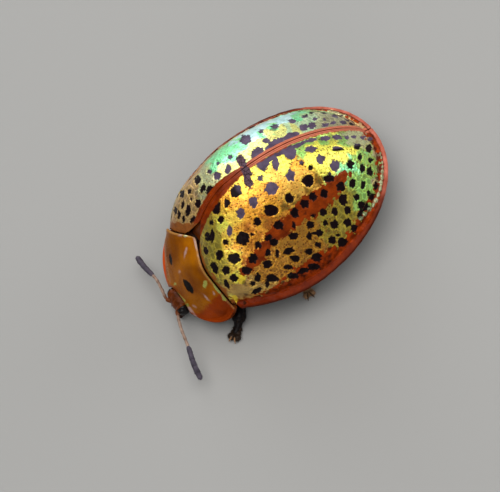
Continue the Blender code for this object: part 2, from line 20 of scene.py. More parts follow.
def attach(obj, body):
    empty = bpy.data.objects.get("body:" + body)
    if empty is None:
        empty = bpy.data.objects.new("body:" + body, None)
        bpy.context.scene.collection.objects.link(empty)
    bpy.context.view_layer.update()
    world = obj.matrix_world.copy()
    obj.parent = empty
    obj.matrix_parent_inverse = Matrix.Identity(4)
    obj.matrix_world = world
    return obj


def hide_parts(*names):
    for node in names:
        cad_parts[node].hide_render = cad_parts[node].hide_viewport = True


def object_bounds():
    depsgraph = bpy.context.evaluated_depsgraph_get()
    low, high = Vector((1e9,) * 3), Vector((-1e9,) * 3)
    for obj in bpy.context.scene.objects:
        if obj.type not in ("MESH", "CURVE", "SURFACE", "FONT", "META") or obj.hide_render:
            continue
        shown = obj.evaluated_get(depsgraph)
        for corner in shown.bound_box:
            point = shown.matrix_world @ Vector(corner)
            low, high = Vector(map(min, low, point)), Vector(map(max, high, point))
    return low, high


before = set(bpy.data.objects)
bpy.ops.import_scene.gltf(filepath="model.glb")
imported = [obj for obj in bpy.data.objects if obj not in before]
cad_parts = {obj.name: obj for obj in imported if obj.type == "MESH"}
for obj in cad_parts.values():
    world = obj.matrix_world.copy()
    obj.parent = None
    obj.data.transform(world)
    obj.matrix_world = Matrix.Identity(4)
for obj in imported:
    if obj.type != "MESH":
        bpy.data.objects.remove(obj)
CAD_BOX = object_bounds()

MM = 0.001
print("CAD nodes:", len(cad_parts))

# %% [markdown]
# ## Sizes shared with the CAD
# The CAD source drew the shell from a few named sizes and formulas. The same sizes and formulas are
# repeated here, so that each fine surface lies where its solid lies. They work in the body frame, whose y
# is 0 near the widest part of the shell and whose z is 0 at the outer edge of the wing cases. Here the
# formulas take whole numpy arrays, because the fine surfaces have tens of thousands of points.

# %% Sizes of the shell
BODY_ORIGIN = np.array((0.0, 0.98, 2.4)) * MM
GAP = 0.25 * MM
HALF_WIDTH = 6.6 * MM
WIDEST_Y = 0.46 * MM
APEX_Y = 9.05 * MM
SHOULDER_Y = -5.6 * MM
SHOULDER_TAPER = 2.3 * MM
REAR_POWER = 2.04
RIM_WIDTH = 0.55 * MM
RIM_RISE = 0.25 * MM
HUMP_Y = -1.0 * MM
HUMP_HEIGHT = 6.6 * MM
FRONT_DROP = 2.6 * MM
CREST_POWER = 2.2
CREST_ROUND = 0.8
SEAM_FRONT_Y = -3.95 * MM
BEAD_HEIGHT = 0.10 * MM
BEAD_WIDTH = 0.30 * MM
BASE_MIDDLE_Y = -4.75 * MM
BASE_SWEEP = 1.0 * MM
BASE_SWEEP_WIDTH = 2.4 * MM
BASE_INNER_X = 0.68 * MM
SHIELD_HALF_WIDTH = 4.0 * MM
SHIELD_SIDE_Y = -6.3 * MM
SHIELD_LENGTH = 2.35 * MM
SHIELD_POWER = 1.85
SHIELD_HIND_X = 3.95 * MM
SHIELD_HIND_FROM = 3.3 * MM
SHIELD_HIND_TURN = 0.05 * MM
NOTCH_HALF_WIDTH = 1.3 * MM
NOTCH_DEPTH = 0.38 * MM
SHIELD_CREST = 3.75 * MM
SHIELD_FRONT_DROOP = 1.25 * MM
SHIELD_BORDER_RISE = 0.08 * MM
SHIELD_BORDER_FALL = 1.5 * MM
SHIELD_BORDER_BEND = 1.15 * MM
SHIELD_BORDER_INSET = 0.9
print("shell: %.1f mm wide, %.1f mm high above its rim" % (2 * HALF_WIDTH / MM, HUMP_HEIGHT / MM))

# %% Formulas of the shell
def mix(a, b, t):
    """The value a share t of the way from a to b."""
    return a + (b - a) * t


def smooth(low, high, value):
    """0 below low, 1 above high, and an S-curve between."""
    t = np.clip((value - low) / (high - low), 0.0, 1.0)
    return t * t * (3 - 2 * t)


def half_width(y, inset=0.0):
    """Half the width of the wing cases at y, inside their outer edge by inset."""
    wide = HALF_WIDTH - inset
    ahead = np.maximum(WIDEST_Y - y, 0) / (WIDEST_Y - SHOULDER_Y)
    behind = np.clip((y - WIDEST_Y) / (APEX_Y - inset - WIDEST_Y), 0, 1)
    round_end = wide * (1 - behind**REAR_POWER) ** (1 / REAR_POWER)
    return np.where(y < WIDEST_Y, wide - SHOULDER_TAPER * ahead**2, round_end)


def crest(y):
    """Height of the seam above the outer edge at y."""
    ahead = np.maximum(HUMP_Y - y, 0) / (HUMP_Y - BASE_MIDDLE_Y)
    behind = np.clip((y - HUMP_Y) / (APEX_Y - RIM_WIDTH - HUMP_Y), 0, 1)
    fall = RIM_RISE + (HUMP_HEIGHT - RIM_RISE) * (1 - behind**CREST_POWER) ** CREST_ROUND
    return np.where(y < HUMP_Y, HUMP_HEIGHT - FRONT_DROP * ahead**2, fall)


def base_y(x):
    """The front edge of the wing cases at x."""
    share = np.minimum(np.abs(x) / BASE_SWEEP_WIDTH, 1.0)
    return BASE_MIDDLE_Y - BASE_SWEEP * np.sin(math.pi / 2 * share) ** 1.3


def shell_height(x, y):
    """Height of the domed wing cases over the plan point x, y."""
    power = mix(4.5, 2.35, smooth(-5.8 * MM, -1.5 * MM, y)) + 0.7 * smooth(3 * MM, 8 * MM, y)
    u = np.minimum(np.abs(x) / np.maximum(half_width(y, RIM_WIDTH), 1e-6), 1.0)
    forward = 0.55 * (BASE_MIDDLE_Y - base_y(x)) * (1 - smooth(-5.5 * MM, -2.5 * MM, y))
    return RIM_RISE + (crest(y + forward) - RIM_RISE) * (1 - u**power)


def shield_half_width(y):
    """Half the width of the neck shield at y."""
    v = np.clip((SHIELD_SIDE_Y - y) / SHIELD_LENGTH, 0, 1)
    return SHIELD_HALF_WIDTH * (1 - v**SHIELD_POWER) ** (1 / SHIELD_POWER)


def shield_height(x, y):
    """Height of the neck shield over x, y: a steep disc with a nearly flat border at each side."""
    ahead = np.maximum(-6 * MM - y, 0) / SHIELD_BORDER_BEND
    border = SHIELD_BORDER_RISE - SHIELD_BORDER_FALL * (1 - np.exp(-ahead))
    v = np.clip((BASE_MIDDLE_Y - 0.25 * MM - y) / (3.55 * MM), 0, 1)
    top = SHIELD_CREST - (SHIELD_CREST + SHIELD_FRONT_DROOP) * (1 - (1 - v**1.7) ** 0.9)
    u = np.minimum(np.abs(x) / np.maximum(SHIELD_BORDER_INSET * shield_half_width(y), 1e-6), 1.0)
    power = mix(2.4, 5.0, smooth(-8 * MM, -6.2 * MM, y))
    return border + np.maximum(top - border, 0) * (1 - u**power)


print("seam over the widest part: %.2f mm above the rim" % (crest(WIDEST_Y) / MM))

# %% [markdown]
# ## The camera
# The photograph was taken from the beetle's left, 60 degrees up, with the picture turned so that the head
# points down and to the left. A long lens from 15 cm away gives the photograph's flat perspective. The
# camera is made from a few named values: the direction it looks from, how far it is rolled, where the
# beetle's middle falls in the picture, and how many pixels a millimetre of the beetle covers.

# %% The camera
PHOTO_SIZE = (500, 492)
LOOK_FROM = Vector((0.499, -0.039, 0.8657)).normalized()
ROLL = math.radians(39.75)
PIXELS_PER_MM = 14.72
PIXEL = MM / PIXELS_PER_MM
BODY_PIXEL = (269.4, 212.8)
CAMERA_DISTANCE = 150 * MM
SENSOR = 36.0

ahead_in_view = (Vector((0, 1, 0)) - LOOK_FROM.y * LOOK_FROM).normalized()
side_in_view = ahead_in_view.cross(LOOK_FROM)
picture_right = math.cos(ROLL) * ahead_in_view + math.sin(ROLL) * side_in_view
picture_up = math.sin(ROLL) * ahead_in_view - math.cos(ROLL) * side_in_view
sideways = (PHOTO_SIZE[0] / 2 - BODY_PIXEL[0]) / PIXELS_PER_MM * MM
upward = (BODY_PIXEL[1] - PHOTO_SIZE[1] / 2) / PIXELS_PER_MM * MM
aim = Vector(BODY_ORIGIN) + picture_right * sideways + picture_up * upward
CAMERA_AT = Vector(BODY_ORIGIN) + LOOK_FROM * CAMERA_DISTANCE
CAMERA_BACK = (CAMERA_AT - aim).normalized()
CAMERA_RIGHT = (picture_right - picture_right.dot(CAMERA_BACK) * CAMERA_BACK).normalized()
CAMERA_UP = CAMERA_BACK.cross(CAMERA_RIGHT)

camera_data = bpy.data.cameras.new("camera")
camera_data.sensor_width = SENSOR
camera_data.lens = PIXELS_PER_MM * CAMERA_DISTANCE / MM / PHOTO_SIZE[0] * SENSOR
camera_data.clip_start = 1 * MM
camera_data.clip_end = 10
camera = bpy.data.objects.new("camera", camera_data)
turned = Matrix((CAMERA_RIGHT, CAMERA_UP, CAMERA_BACK)).transposed()
camera.matrix_world = Matrix.Translation(CAMERA_AT) @ turned.to_4x4()
bpy.context.scene.collection.objects.link(camera)
bpy.context.scene.camera = camera
print("lens: %.1f mm" % camera_data.lens)

# %% [markdown]
# ## Floor and light
# A plain pale floor, and light as soft as an overcast sky: one very large lamp high above the beetle, three
# small weak ones low down on its far side, behind it and in front of it, and a bright surround. Metal shows
# only what it reflects, so the wide pale lamp and the surround are what make the gold read as gold.

# %% Floor and light
FLOOR_SIZE = 1.2
FLOOR_COLOUR = (0.31, 0.305, 0.297, 1)
SURROUND_COLOUR = (0.80, 0.86, 0.9, 1)
SURROUND_STRENGTH = 0.32
# Each lamp's place, its size in metres, its power in watts and its colour
LAMPS = {
    "sky_lamp": ((-0.03, 0.05, 0.30), 0.46, 1.42, (1.0, 0.98, 0.95)),
    "side_lamp": ((-0.28, 0.08, 0.11), 0.18, 0.32, (0.95, 0.98, 1.0)),
    "rear_lamp": ((0.06, 0.29, 0.09), 0.18, 0.24, (0.97, 0.99, 1.0)),
    "front_lamp": ((0.219, -0.183, 0.085), 0.17, 0.17, (1.0, 0.98, 0.94)),
}


def floor_material():
    """A matt pale grey."""
    material = bpy.data.materials.new("pale_floor")
    material.use_nodes = True
    shader = material.node_tree.nodes["Principled BSDF"]
    shader.inputs["Base Color"].default_value = FLOOR_COLOUR
    shader.inputs["Roughness"].default_value = 0.9
    return material


def add_lamp(name, place, size, power, tone):
    """A square lamp that faces the beetle."""
    data = bpy.data.lights.new(name, "AREA")
    data.size = size
    data.energy = power
    data.color = tone
    lamp = bpy.data.objects.new(name, data)
    lamp.location = place
    lamp.rotation_euler = (Vector(BODY_ORIGIN) - Vector(place)).to_track_quat("-Z", "Y").to_euler()
    bpy.context.scene.collection.objects.link(lamp)


bpy.ops.mesh.primitive_plane_add(size=FLOOR_SIZE)
floor = bpy.context.object
floor.name = "floor"
floor.data.materials.append(floor_material())

for name, lamp in LAMPS.items():
    add_lamp(name, *lamp)
world = bpy.data.worlds.new("surround")
world.use_nodes = True
world.node_tree.nodes["Background"].inputs["Color"].default_value = SURROUND_COLOUR
world.node_tree.nodes["Background"].inputs["Strength"].default_value = SURROUND_STRENGTH
bpy.context.scene.world = world
bpy.context.scene.view_settings.view_transform = "Standard"

# %% [markdown]
# ## From a pixel to a place on the beetle
# The beetle's markings were read off the photograph, so their places are in its pixels. `to_pixels`
# says where a point of the beetle falls in the photograph. A marking is then drawn on the surface by
# asking, for every point of the mesh, how far that point lies from the marking in the picture. Points that
# the photograph doesn't show ask for their mirror image instead, because the markings are nearly symmetric.

# %% Reading the photograph's pixels
OUTSIDE = -6.0
BLOT_MARGIN = 7


def to_pixels(points):
    """Where points, in metres in the world, fall in the photograph."""
    local = np.asarray(points) - np.array(CAMERA_AT)
    depth = -local @ np.array(CAMERA_BACK)
    scale = camera_data.lens / SENSOR * PHOTO_SIZE[0] / depth
    x = PHOTO_SIZE[0] / 2 + local @ np.array(CAMERA_RIGHT) * scale
    y = PHOTO_SIZE[1] / 2 - local @ np.array(CAMERA_UP) * scale
    return np.stack((x, y), axis=-1)


def facing(points, normals):
    """How squarely each point looks at the camera: 1 is straight at it, below 0 is turned away."""
    sight = np.array(CAMERA_AT) - points
    sight /= np.linalg.norm(sight, axis=1)[:, None]
    return np.sum(sight * normals, axis=1)


def blot_field(pixels, blots, lobes=0.0):
    """How deep each pixel lies inside the nearest blot, in pixels; negative outside all of them.

    A blot is its centre, width and height, and may add the angle it leans by. With lobes, each outline
    swells and shrinks by that share from three to six times round, so that no two blots are alike.
    """
    field = np.full(len(pixels), OUTSIDE)
    for number, blot in enumerate(blots):
        x, y, wide, high = blot[:4]
        lean = math.radians(blot[4]) if len(blot) > 4 else 0.0
        offset = pixels - (x, y)
        near = np.flatnonzero(np.sum(offset**2, axis=1) < (max(wide, high) + BLOT_MARGIN) ** 2)
        dx, dy = offset[near].T
        along = (dx * math.cos(lean) + dy * math.sin(lean)) / (wide / 2)
        across = (dy * math.cos(lean) - dx * math.sin(lean)) / (high / 2)
        bearing = np.arctan2(across, along)
        waists = 3 + number % 4
        swell = np.cos(waists * bearing + 2.4 * number) + 0.6 * np.cos((waists + 2) * bearing - 1.7 * number)
        reach = np.hypot(along, across) / (1 + lobes * swell)
        field[near] = np.maximum(field[near], (1 - reach) * math.sqrt(wide * high) / 2)
    return field


def line_field(pixels, route):
    """Each pixel's distance to a line of points, its side (+1 on the right) and its share of the line."""
    best = np.full(len(pixels), 1e9)
    side = np.ones(len(pixels))
    share = np.zeros(len(pixels))
    route = np.array([point[:2] for point in route], float)
    for i in range(len(route) - 1):
        start = route[i]
        step = route[i + 1] - start
        offset = pixels - start
        t = np.clip(offset @ step / (step @ step), 0, 1)
        distance = np.linalg.norm(offset - t[:, None] * step, axis=1)
        turn = step[0] * offset[:, 1] - step[1] * offset[:, 0]
        nearer = distance < best
        best[nearer] = distance[nearer]
        side[nearer] = np.sign(turn[nearer])
        share[nearer] = (i + t[nearer]) / (len(route) - 1)
    return best, side, share


print("the body's origin falls at", to_pixels([BODY_ORIGIN])[0].round(1))

# %% [markdown]
# ## Making plates
# A beetle's plates are thin curved sheets. Each is made here as a grid of points: the upper side fine
# enough to carry ridges and hollows as real shape, the underside several times coarser, and a strip of
# triangles round the edge that joins the two into one closed sheet. Solidify could thicken the grid too,
# but it would copy all the fine points to a side that nobody sees.

# %% A plate from a grid
MERGE_DISTANCE = 0.0004 * MM


def grid_normals(grid):
    """A unit vector square to the surface at every point of a grid."""
    down = np.gradient(grid, axis=0)
    across = np.gradient(grid, axis=1)
    normals = np.cross(down, across)
    length = np.linalg.norm(normals, axis=2, keepdims=True)
    return normals / np.maximum(length, 1e-15)


def numbered(rows, columns, first=0):
    """The number of every point of a grid, laid out as the grid is."""
    return first + np.arange(rows * columns).reshape(rows, columns)


def grid_faces(number):
    """The four-cornered faces of a grid whose points have these numbers."""
    corners = (number[:-1, :-1], number[1:, :-1], number[1:, 1:], number[:-1, 1:])
    return np.stack(corners, axis=-1).reshape(-1, 4)


def plate_mesh(name, grid, thickness, stride, outward):
    """A closed sheet with the grid as its upper side; its underside keeps one point in each stride."""
    low = grid[::stride, ::stride] - thickness * outward[::stride, ::stride]
    points = np.concatenate((grid.reshape(-1, 3), low.reshape(-1, 3)))
    number = numbered(*grid.shape[:2])
    coarse = numbered(*low.shape[:2], number.size)
    faces = grid_faces(number).tolist() + grid_faces(coarse)[:, (0, 3, 2, 1)].tolist()

    def ring(table):
        """The numbers of the outermost points, in order round the grid."""
        return np.concatenate((table[0, :-1], table[:-1, -1], table[-1, :0:-1], table[:0:-1, 0])).tolist()

    fine_ring = ring(number)
    coarse_ring = ring(coarse)
    for i, start in enumerate(coarse_ring):
        stop = coarse_ring[(i + 1) % len(coarse_ring)]
        for k in range(stride):
            first = fine_ring[i * stride + k]
            second = fine_ring[(i * stride + k + 1) % len(fine_ring)]
            faces.append((start if k <= stride // 2 else stop, first, second))
            if k == stride // 2:
                faces.append((start, second, stop))
    mesh = bpy.data.meshes.new(name)
    mesh.from_pydata(points.tolist(), [], faces)
    return mesh


def tidy_mesh(mesh):
    """Joins points that share a place, drops faces with no area, and turns the faces outward."""
    builder = bmesh.new()
    builder.from_mesh(mesh)
    bmesh.ops.remove_doubles(builder, verts=builder.verts, dist=MERGE_DISTANCE)
    bmesh.ops.dissolve_degenerate(builder, edges=builder.edges, dist=MERGE_DISTANCE)
    bmesh.ops.recalc_face_normals(builder, faces=builder.faces)
    builder.to_mesh(mesh)
    builder.free()
    mesh.shade_smooth()
    return mesh


print("points closer than %.1f micrometres are joined" % (MERGE_DISTANCE / MM * 1000))

# %% What a mesh keeps for its material
NOISE_GAIN = 1.6
FRACTAL_GAIN = 1.4
UV_SPAN = 0.48
UV_MARGIN = 0.01


def vertex_table(mesh):
    """The places and the normals of a mesh's points, as arrays."""
    places = np.empty(len(mesh.vertices) * 3)
    mesh.vertices.foreach_get("co", places)
    normals = np.empty(len(mesh.vertices) * 3)
    mesh.vertex_normals.foreach_get("vector", normals)
    return places.reshape(-1, 3), normals.reshape(-1, 3)


def store(mesh, name, values):
    """Keeps one number, or one colour, for each point of a mesh, for its material to read."""
    values = np.asarray(values, dtype=np.float32)
    if values.ndim == 1:
        layer = mesh.attributes.new(name, "FLOAT", "POINT")
        layer.data.foreach_set("value", values)
        return
    layer = mesh.attributes.new(name, "FLOAT_COLOR", "POINT")
    layer.data.foreach_set("color", np.concatenate((values, np.ones((len(values), 1))), axis=1).ravel())


def waves(points, size, seed=0.0, octaves=1):
    """Smooth noise between about -1 and 1, with lumps of the given size, at every point."""
    scaled = points / size + seed
    if octaves == 1:
        return np.array([noise.noise(p) for p in scaled.tolist()]) * NOISE_GAIN
    return np.array([noise.fractal(p, 1.0, 2.0, octaves) for p in scaled.tolist()]) * FRACTAL_GAIN


def unwrap(mesh):
    """A UV map for baking: the plan of the piece, its upper and lower sides side by side."""
    places, _ = vertex_table(mesh)
    low, high = places.min(axis=0), places.max(axis=0)
    flat = (places[:, :2] - low[:2]) / (high - low)[:2].max() * UV_SPAN
    corners = np.empty(len(mesh.loops), dtype=np.int32)
    mesh.loops.foreach_get("vertex_index", corners)
    up = np.empty(len(mesh.polygons) * 3)
    mesh.polygons.foreach_get("normal", up)
    count = np.empty(len(mesh.polygons), dtype=np.int32)
    mesh.polygons.foreach_get("loop_total", count)
    lower = np.repeat(up.reshape(-1, 3)[:, 2] < 0, count)
    uv = flat[corners] + UV_MARGIN
    uv[lower, 0] += 0.5
    layer = mesh.uv_layers.new(name="OFBake")
    layer.data.foreach_set("uv", uv.ravel())


def show(name, mesh, material, slot, *nodes):
    """Puts a finished mesh on the beetle in place of its CAD nodes."""
    piece = bpy.data.objects.new(name, mesh)
    mesh.materials.append(material)
    bpy.context.scene.collection.objects.link(piece)
    if "OFBake" not in mesh.uv_layers:
        unwrap(mesh)
    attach(piece, "root")
    if nodes:
        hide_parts(*nodes)
    triangles = sum(len(face.vertices) - 2 for face in mesh.polygons)
    print("%s: %d triangles" % (name, triangles))


print("helpers for meshes ready")

# %% [markdown]
# ## Nodes for the finishes
# A material is a tree of shader nodes. `node` adds one node, sets its options, and either sets or links
# each of its inputs. Effects that come back are node groups, built once and placed in each material with
# its own values: one turns a stored distance into a crisp, slightly ragged mask, one gives mottling at two
# sizes, one makes small pits, and one makes a net of fine lines, as in crazed lacquer.

# %% Helpers for shader nodes
def colour(red, green, blue):
    """A colour named by its picture values, 0 to 255, as the linear colour that a shader wants."""
    shares = (red / 255, green / 255, blue / 255)
    return tuple(v / 12.92 if v < 0.04045 else ((v + 0.055) / 1.055) ** 2.4 for v in shares)


def node(tree, kind, values=None, **options):
    """One shader node with its options set and its inputs set or linked."""
    made = tree.nodes.new("ShaderNode" + kind)
    for key, value in options.items():
        setattr(made, key, value)
    for key, value in (values or {}).items():
        if isinstance(value, bpy.types.NodeSocket):
            tree.links.new(value, made.inputs[key])
        elif isinstance(value, tuple) and len(value) == 3 and made.inputs[key].type == "RGBA":
            made.inputs[key].default_value = (*value, 1)
        else:
            made.inputs[key].default_value = value
    return made


def maths(tree, operation, first, second=0.0, third=0.0):
    """A Math node's output."""
    return node(tree, "Math", {0: first, 1: second, 2: third}, operation=operation).outputs[0]


def tint(tree, factor, first, second, blend="MIX"):
    """Mixes two colours by a factor."""
    made = node(tree, "Mix", {0: factor, 6: first, 7: second}, data_type="RGBA", blend_type=blend)
    return made.outputs[2]


def stored(tree, name, output="Fac"):
    """A number, or from the output Color a colour, that was stored for the points of the mesh."""
    return node(tree, "Attribute", attribute_name=name).outputs[output]


def new_group(name, inputs, outputs):
    """An empty node group with named number or colour sockets, its input and its output node."""
    group = bpy.data.node_groups.new(name, "ShaderNodeTree")
    for label, kind, value in inputs:
        socket = group.interface.new_socket(label, in_out="INPUT", socket_type="NodeSocket" + kind)
        socket.default_value = value
    for label, kind in outputs:
        group.interface.new_socket(label, in_out="OUTPUT", socket_type="NodeSocket" + kind)
    return group, group.nodes.new("NodeGroupInput"), group.nodes.new("NodeGroupOutput")


def use(tree, group, values):
    """Places a node group in a material."""
    return node(tree, "Group", values, node_tree=group)


def weakened(tree, value, most):
    """A value that reaches most where it reached 1."""
    return maths(tree, "MULTIPLY", value, most)


def largest(tree, *values):
    """The largest of several values."""
    found = values[0]
    for value in values[1:]:
        found = maths(tree, "MAXIMUM", found, value)
    return found


def new_material(name, **fixed):
    """A material with its tree and its Principled shader; fixed values go on the shader's own sockets."""
    material = bpy.data.materials.new(name)
    material.use_nodes = True
    shader = material.node_tree.nodes["Principled BSDF"]
    for key, value in fixed.items():
        shader.inputs[key.replace("_", " ")].default_value = value
    return material, material.node_tree, shader


print("helpers for materials ready")

# %% Shared effects
def build_ragged_mask():
    """Turns a stored distance, in the photograph's pixels, into a mask with a crisp, ragged edge."""
    inputs = (("Distance", "Float", 0.0), ("Raggedness", "Float", 1.0), ("Softness", "Float", 0.4),
              ("Grain size", "Float", 0.2))
    group, given, out = new_group("ragged mask", inputs, (("Mask", "Float"),))
    place = node(group, "TexCoord").outputs["Object"]
    scale = maths(group, "DIVIDE", 1 / MM, given.outputs["Grain size"])
    grain = node(group, "TexNoise", {"Vector": place, "Scale": scale, "Detail": 2.0, "Roughness": 0.6})
    wander = maths(group, "MULTIPLY_ADD", grain.outputs["Fac"], 2.0, -1.0)
    moved = maths(group, "MULTIPLY_ADD", wander, given.outputs["Raggedness"], given.outputs["Distance"])
    low = maths(group, "MULTIPLY", given.outputs["Softness"], -1.0)
    mask = node(group, "MapRange", {"Value": moved, 1: low, 2: given.outputs["Softness"]},
                interpolation_type="SMOOTHSTEP")
    group.links.new(mask.outputs[0], out.inputs["Mask"])
    return group


def build_mottle():
    """Uneven colouring at two sizes, as a factor round a half."""
    inputs = (("Size", "Float", 0.5), ("Contrast", "Float", 1.0))
    group, given, out = new_group("mottle", inputs, (("Factor", "Float"), ("Fine", "Float")))
    place = node(group, "TexCoord").outputs["Object"]
    scale = maths(group, "DIVIDE", 1 / MM, given.outputs["Size"])
    coarse = node(group, "TexNoise", {"Vector": place, "Scale": scale, "Detail": 3.0})
    fine_scale = maths(group, "MULTIPLY", scale, 5.0)
    fine = node(group, "TexNoise", {"Vector": place, "Scale": fine_scale, "Detail": 2.0})
    centred = maths(group, "SUBTRACT", coarse.outputs["Fac"], 0.5)
    factor = maths(group, "MULTIPLY_ADD", centred, given.outputs["Contrast"], 0.5)
    group.links.new(factor, out.inputs["Factor"])
    group.links.new(fine.outputs["Fac"], out.inputs["Fine"])
    return group


def build_pits():
    """Small round pits scattered over a surface: a mask that is 1 in a pit, and their relief."""
    inputs = (("Spacing", "Float", 0.3), ("Radius", "Float", 0.2), ("Share", "Float", 0.7))
    group, given, out = new_group("pits", inputs, (("Mask", "Float"), ("Relief", "Float")))
    place = node(group, "TexCoord").outputs["Object"]
    scale = maths(group, "DIVIDE", 1 / MM, given.outputs["Spacing"])
    cells = node(group, "TexVoronoi", {"Vector": place, "Scale": scale, "Randomness": 0.9})
    luck = node(group, "SeparateColor", {0: cells.outputs["Color"]}).outputs[0]
    wide = maths(group, "MULTIPLY_ADD", luck, 0.2, given.outputs["Radius"])
    floor = maths(group, "MULTIPLY", wide, 0.5)
    depth = node(group, "MapRange", {"Value": cells.outputs["Distance"], 1: wide, 2: floor, 3: 0.0, 4: 1.0},
                 interpolation_type="SMOOTHSTEP").outputs[0]
    chosen = maths(group, "LESS_THAN", luck, given.outputs["Share"])
    mask = maths(group, "MULTIPLY", depth, chosen)
    relief = maths(group, "SUBTRACT", 1.0, mask)
    group.links.new(mask, out.inputs["Mask"])
    group.links.new(relief, out.inputs["Relief"])
    return group


def build_crackle():
    """A net of fine wandering lines, as in crazed lacquer: a mask that is 1 on a line."""
    inputs = (("Spacing", "Float", 0.3), ("Width", "Float", 0.08))
    group, given, out = new_group("crackle", inputs, (("Mask", "Float"),))
    place = node(group, "TexCoord").outputs["Object"]
    scale = maths(group, "DIVIDE", 1 / MM, given.outputs["Spacing"])
    drift = node(group, "TexNoise", {"Vector": place, "Scale": scale, "Detail": 2.0})
    moved = node(group, "Mix", {0: 0.0002, 4: place, 5: drift.outputs["Color"]}, data_type="VECTOR")
    cells = node(group, "TexVoronoi", {"Vector": moved.outputs[1], "Scale": scale},
                 feature="DISTANCE_TO_EDGE")
    fall = {"Value": cells.outputs["Distance"], 1: 0.0, 2: given.outputs["Width"], 3: 1.0, 4: 0.0}
    line = node(group, "MapRange", fall, interpolation_type="SMOOTHSTEP")
    group.links.new(line.outputs[0], out.inputs["Mask"])
    return group


RAGGED = build_ragged_mask()
MOTTLE = build_mottle()
PITS = build_pits()
CRACKLE = build_crackle()
print("shared effects:", [group.name for group in (RAGGED, MOTTLE, PITS, CRACKLE)])

# %% [markdown]
# ## The wing cases
# A beetle's hard wing cases, the elytra, meet in a straight seam along the back. On this one they are
# plated: thin layers in the shell reflect gold, lemon, mint or olive, as on a soap bubble, and the unplated
# places show the brown-red shell and its small black spots. The plating can't be one colour, so it is
# described as a list of named tints, each laid where the photograph shows it, and mixed smoothly between.
# The tints are partly painted light: they hold in place colours that shift with the light, and the brightest
# of them are painted highlights and painted reflections of the sky.
#
# First come the places of the markings. The large ones are the black spots, the hook-shaped brown band and
# the line where the plating ends above the brown side. The small ones are a bead-like row and dark cells
# inside the rear rim, two bright flecks that are painted highlights, and a dark crazed patch across the
# seam. Wide patches say where the spots carry a painted purple reflection of the sky and where the plating is
# netted or smooth. Each place is the centre, width and height of a blot in the photograph's pixels, and may
# add the angle it leans by.

# %% The markings of the wing cases
LEFT_SPOTS = (
    (270.9, 210.3, 14, 12), (242.9, 238.5, 13, 13), (234.1, 258.6, 12, 10), (271.6, 188.6, 13, 12),
    (253.2, 202.3, 8.5, 11), (240.7, 213.2, 8, 10.5), (229.5, 230.9, 5, 10), (235.9, 191.3, 10.5, 12.5),
    (226.8, 202.7, 5, 10), (216.4, 207.7, 8, 13), (220.9, 219.5, 6, 7), (211.2, 222.7, 4, 5),
    (207.5, 235, 4.5, 6), (212, 236, 5, 12), (209, 238.5, 8, 5), (205.9, 250.7, 4, 8, -20),
    (219.4, 255, 7, 9), (225.5, 242.3, 6, 6), (257.3, 221.8, 7, 8), (278.6, 225, 9, 8),
    (294.5, 212.8, 7.5, 9.5), (289.5, 198, 8, 9), (290.3, 175.7, 8.5, 11),
    (275.5, 163.5, 7, 13), (262.5, 164.5, 13, 11, -30), (260.5, 178.5, 5, 5), (252.3, 234.5, 4, 3),
    (214.5, 267.7, 6, 12, -25), (225.9, 270.5, 7, 8), (233.8, 278.2, 8, 7), (226.4, 284.1, 4, 8, -30),
    (253, 258.3, 8.5, 9), (246.4, 270.5, 9, 8), (258, 245, 6, 7), (268.6, 237.7, 7, 6),
    (274.1, 242.3, 8, 7), (268, 252.7, 5, 7), (277.3, 253.4, 4, 8), (289, 251, 11, 6, -20),
    (293.5, 235.9, 9, 6), (295.2, 258.4, 9, 6), (267.5, 264.2, 9, 7), (287.3, 266.8, 8, 4),
    (257.7, 277.7, 6, 8), (271.8, 278.6, 12, 8), (267.3, 284.1, 4, 6), (252.7, 283.6, 5, 4),
    (257.3, 290.9, 10, 5, -20), (258.2, 298.2, 7, 4), (244.5, 301.8, 7, 4), (252.3, 300.5, 6, 3.5),
    (310.9, 149.1, 11, 6), (337.7, 148.8, 11, 4.5), (320.3, 159.1, 8.5, 8.5), (335.2, 165.9, 9, 11),
    (350.3, 164.1, 6.5, 10), (307.9, 180.9, 11, 11.5), (328.6, 178.6, 11, 7), (340.9, 186.8, 8, 9),
    (352.7, 183.6, 6, 8.5), (363.2, 185, 4.5, 8), (324.1, 193.6, 7, 9), (312.7, 196.4, 7, 8),
    (304.6, 204, 8, 8.5), (343.2, 199.5, 8, 11), (356.6, 197.3, 5.5, 6), (368.6, 193.2, 3, 5),
    (361.6, 205.3, 7, 8), (347.7, 210.2, 6, 8), (334.5, 211.4, 6, 8), (323.4, 212.5, 7, 7),
    (313.4, 215.5, 4, 3.5), (359.6, 215.5, 5, 7), (347.7, 222.7, 7, 7.5), (334.8, 224.3, 8, 8),
    (325.4, 223.2, 4, 6), (310.6, 225, 8, 7), (293.9, 225.5, 3.5, 5.5), (354.3, 228.2, 6, 7),
    (319.6, 233.2, 7, 7), (314.5, 233.5, 6, 3), (338.2, 235, 4, 2.5), (309.1, 236.4, 5, 7),
    (332.3, 240, 7, 8), (342.5, 242.3, 9, 9), (318.2, 245, 6, 6), (309.1, 251.4, 8, 6),
    (316.8, 257.3, 10, 8), (314.1, 266.8, 12, 6), (303.6, 270.9, 13, 5, -20), (290, 267.7, 5, 3),
    (292.5, 276, 10, 6), (357.3, 146.4, 6, 5.5), (369.1, 148.6, 6, 7.5), (360, 157.3, 3.5, 6),
    (362.7, 168.2, 5, 9), (370, 171.8, 6, 8), (370.5, 160, 4, 5), (376, 185.5, 4.5, 7),
    (372, 196.5, 5, 7, 20), (290.5, 154, 12, 10, -25), (311, 140, 12, 3.5, -10),
    (325, 138, 9, 5), (337, 137, 9, 5), (347, 137, 4, 4), (354, 136.5, 5, 3),
    (362.7, 137.5, 5, 3), (370, 139, 4, 3), (366.5, 207, 5, 6, 30),
    (361.5, 212, 5, 6), (301.5, 163, 3.5, 3.5), (329.5, 174, 3, 3),
    (271, 158, 22, 5, -34), (285, 150.5, 20, 5, -29), (299, 144.5, 16, 4, -24), (311, 167.5, 4, 4),
)
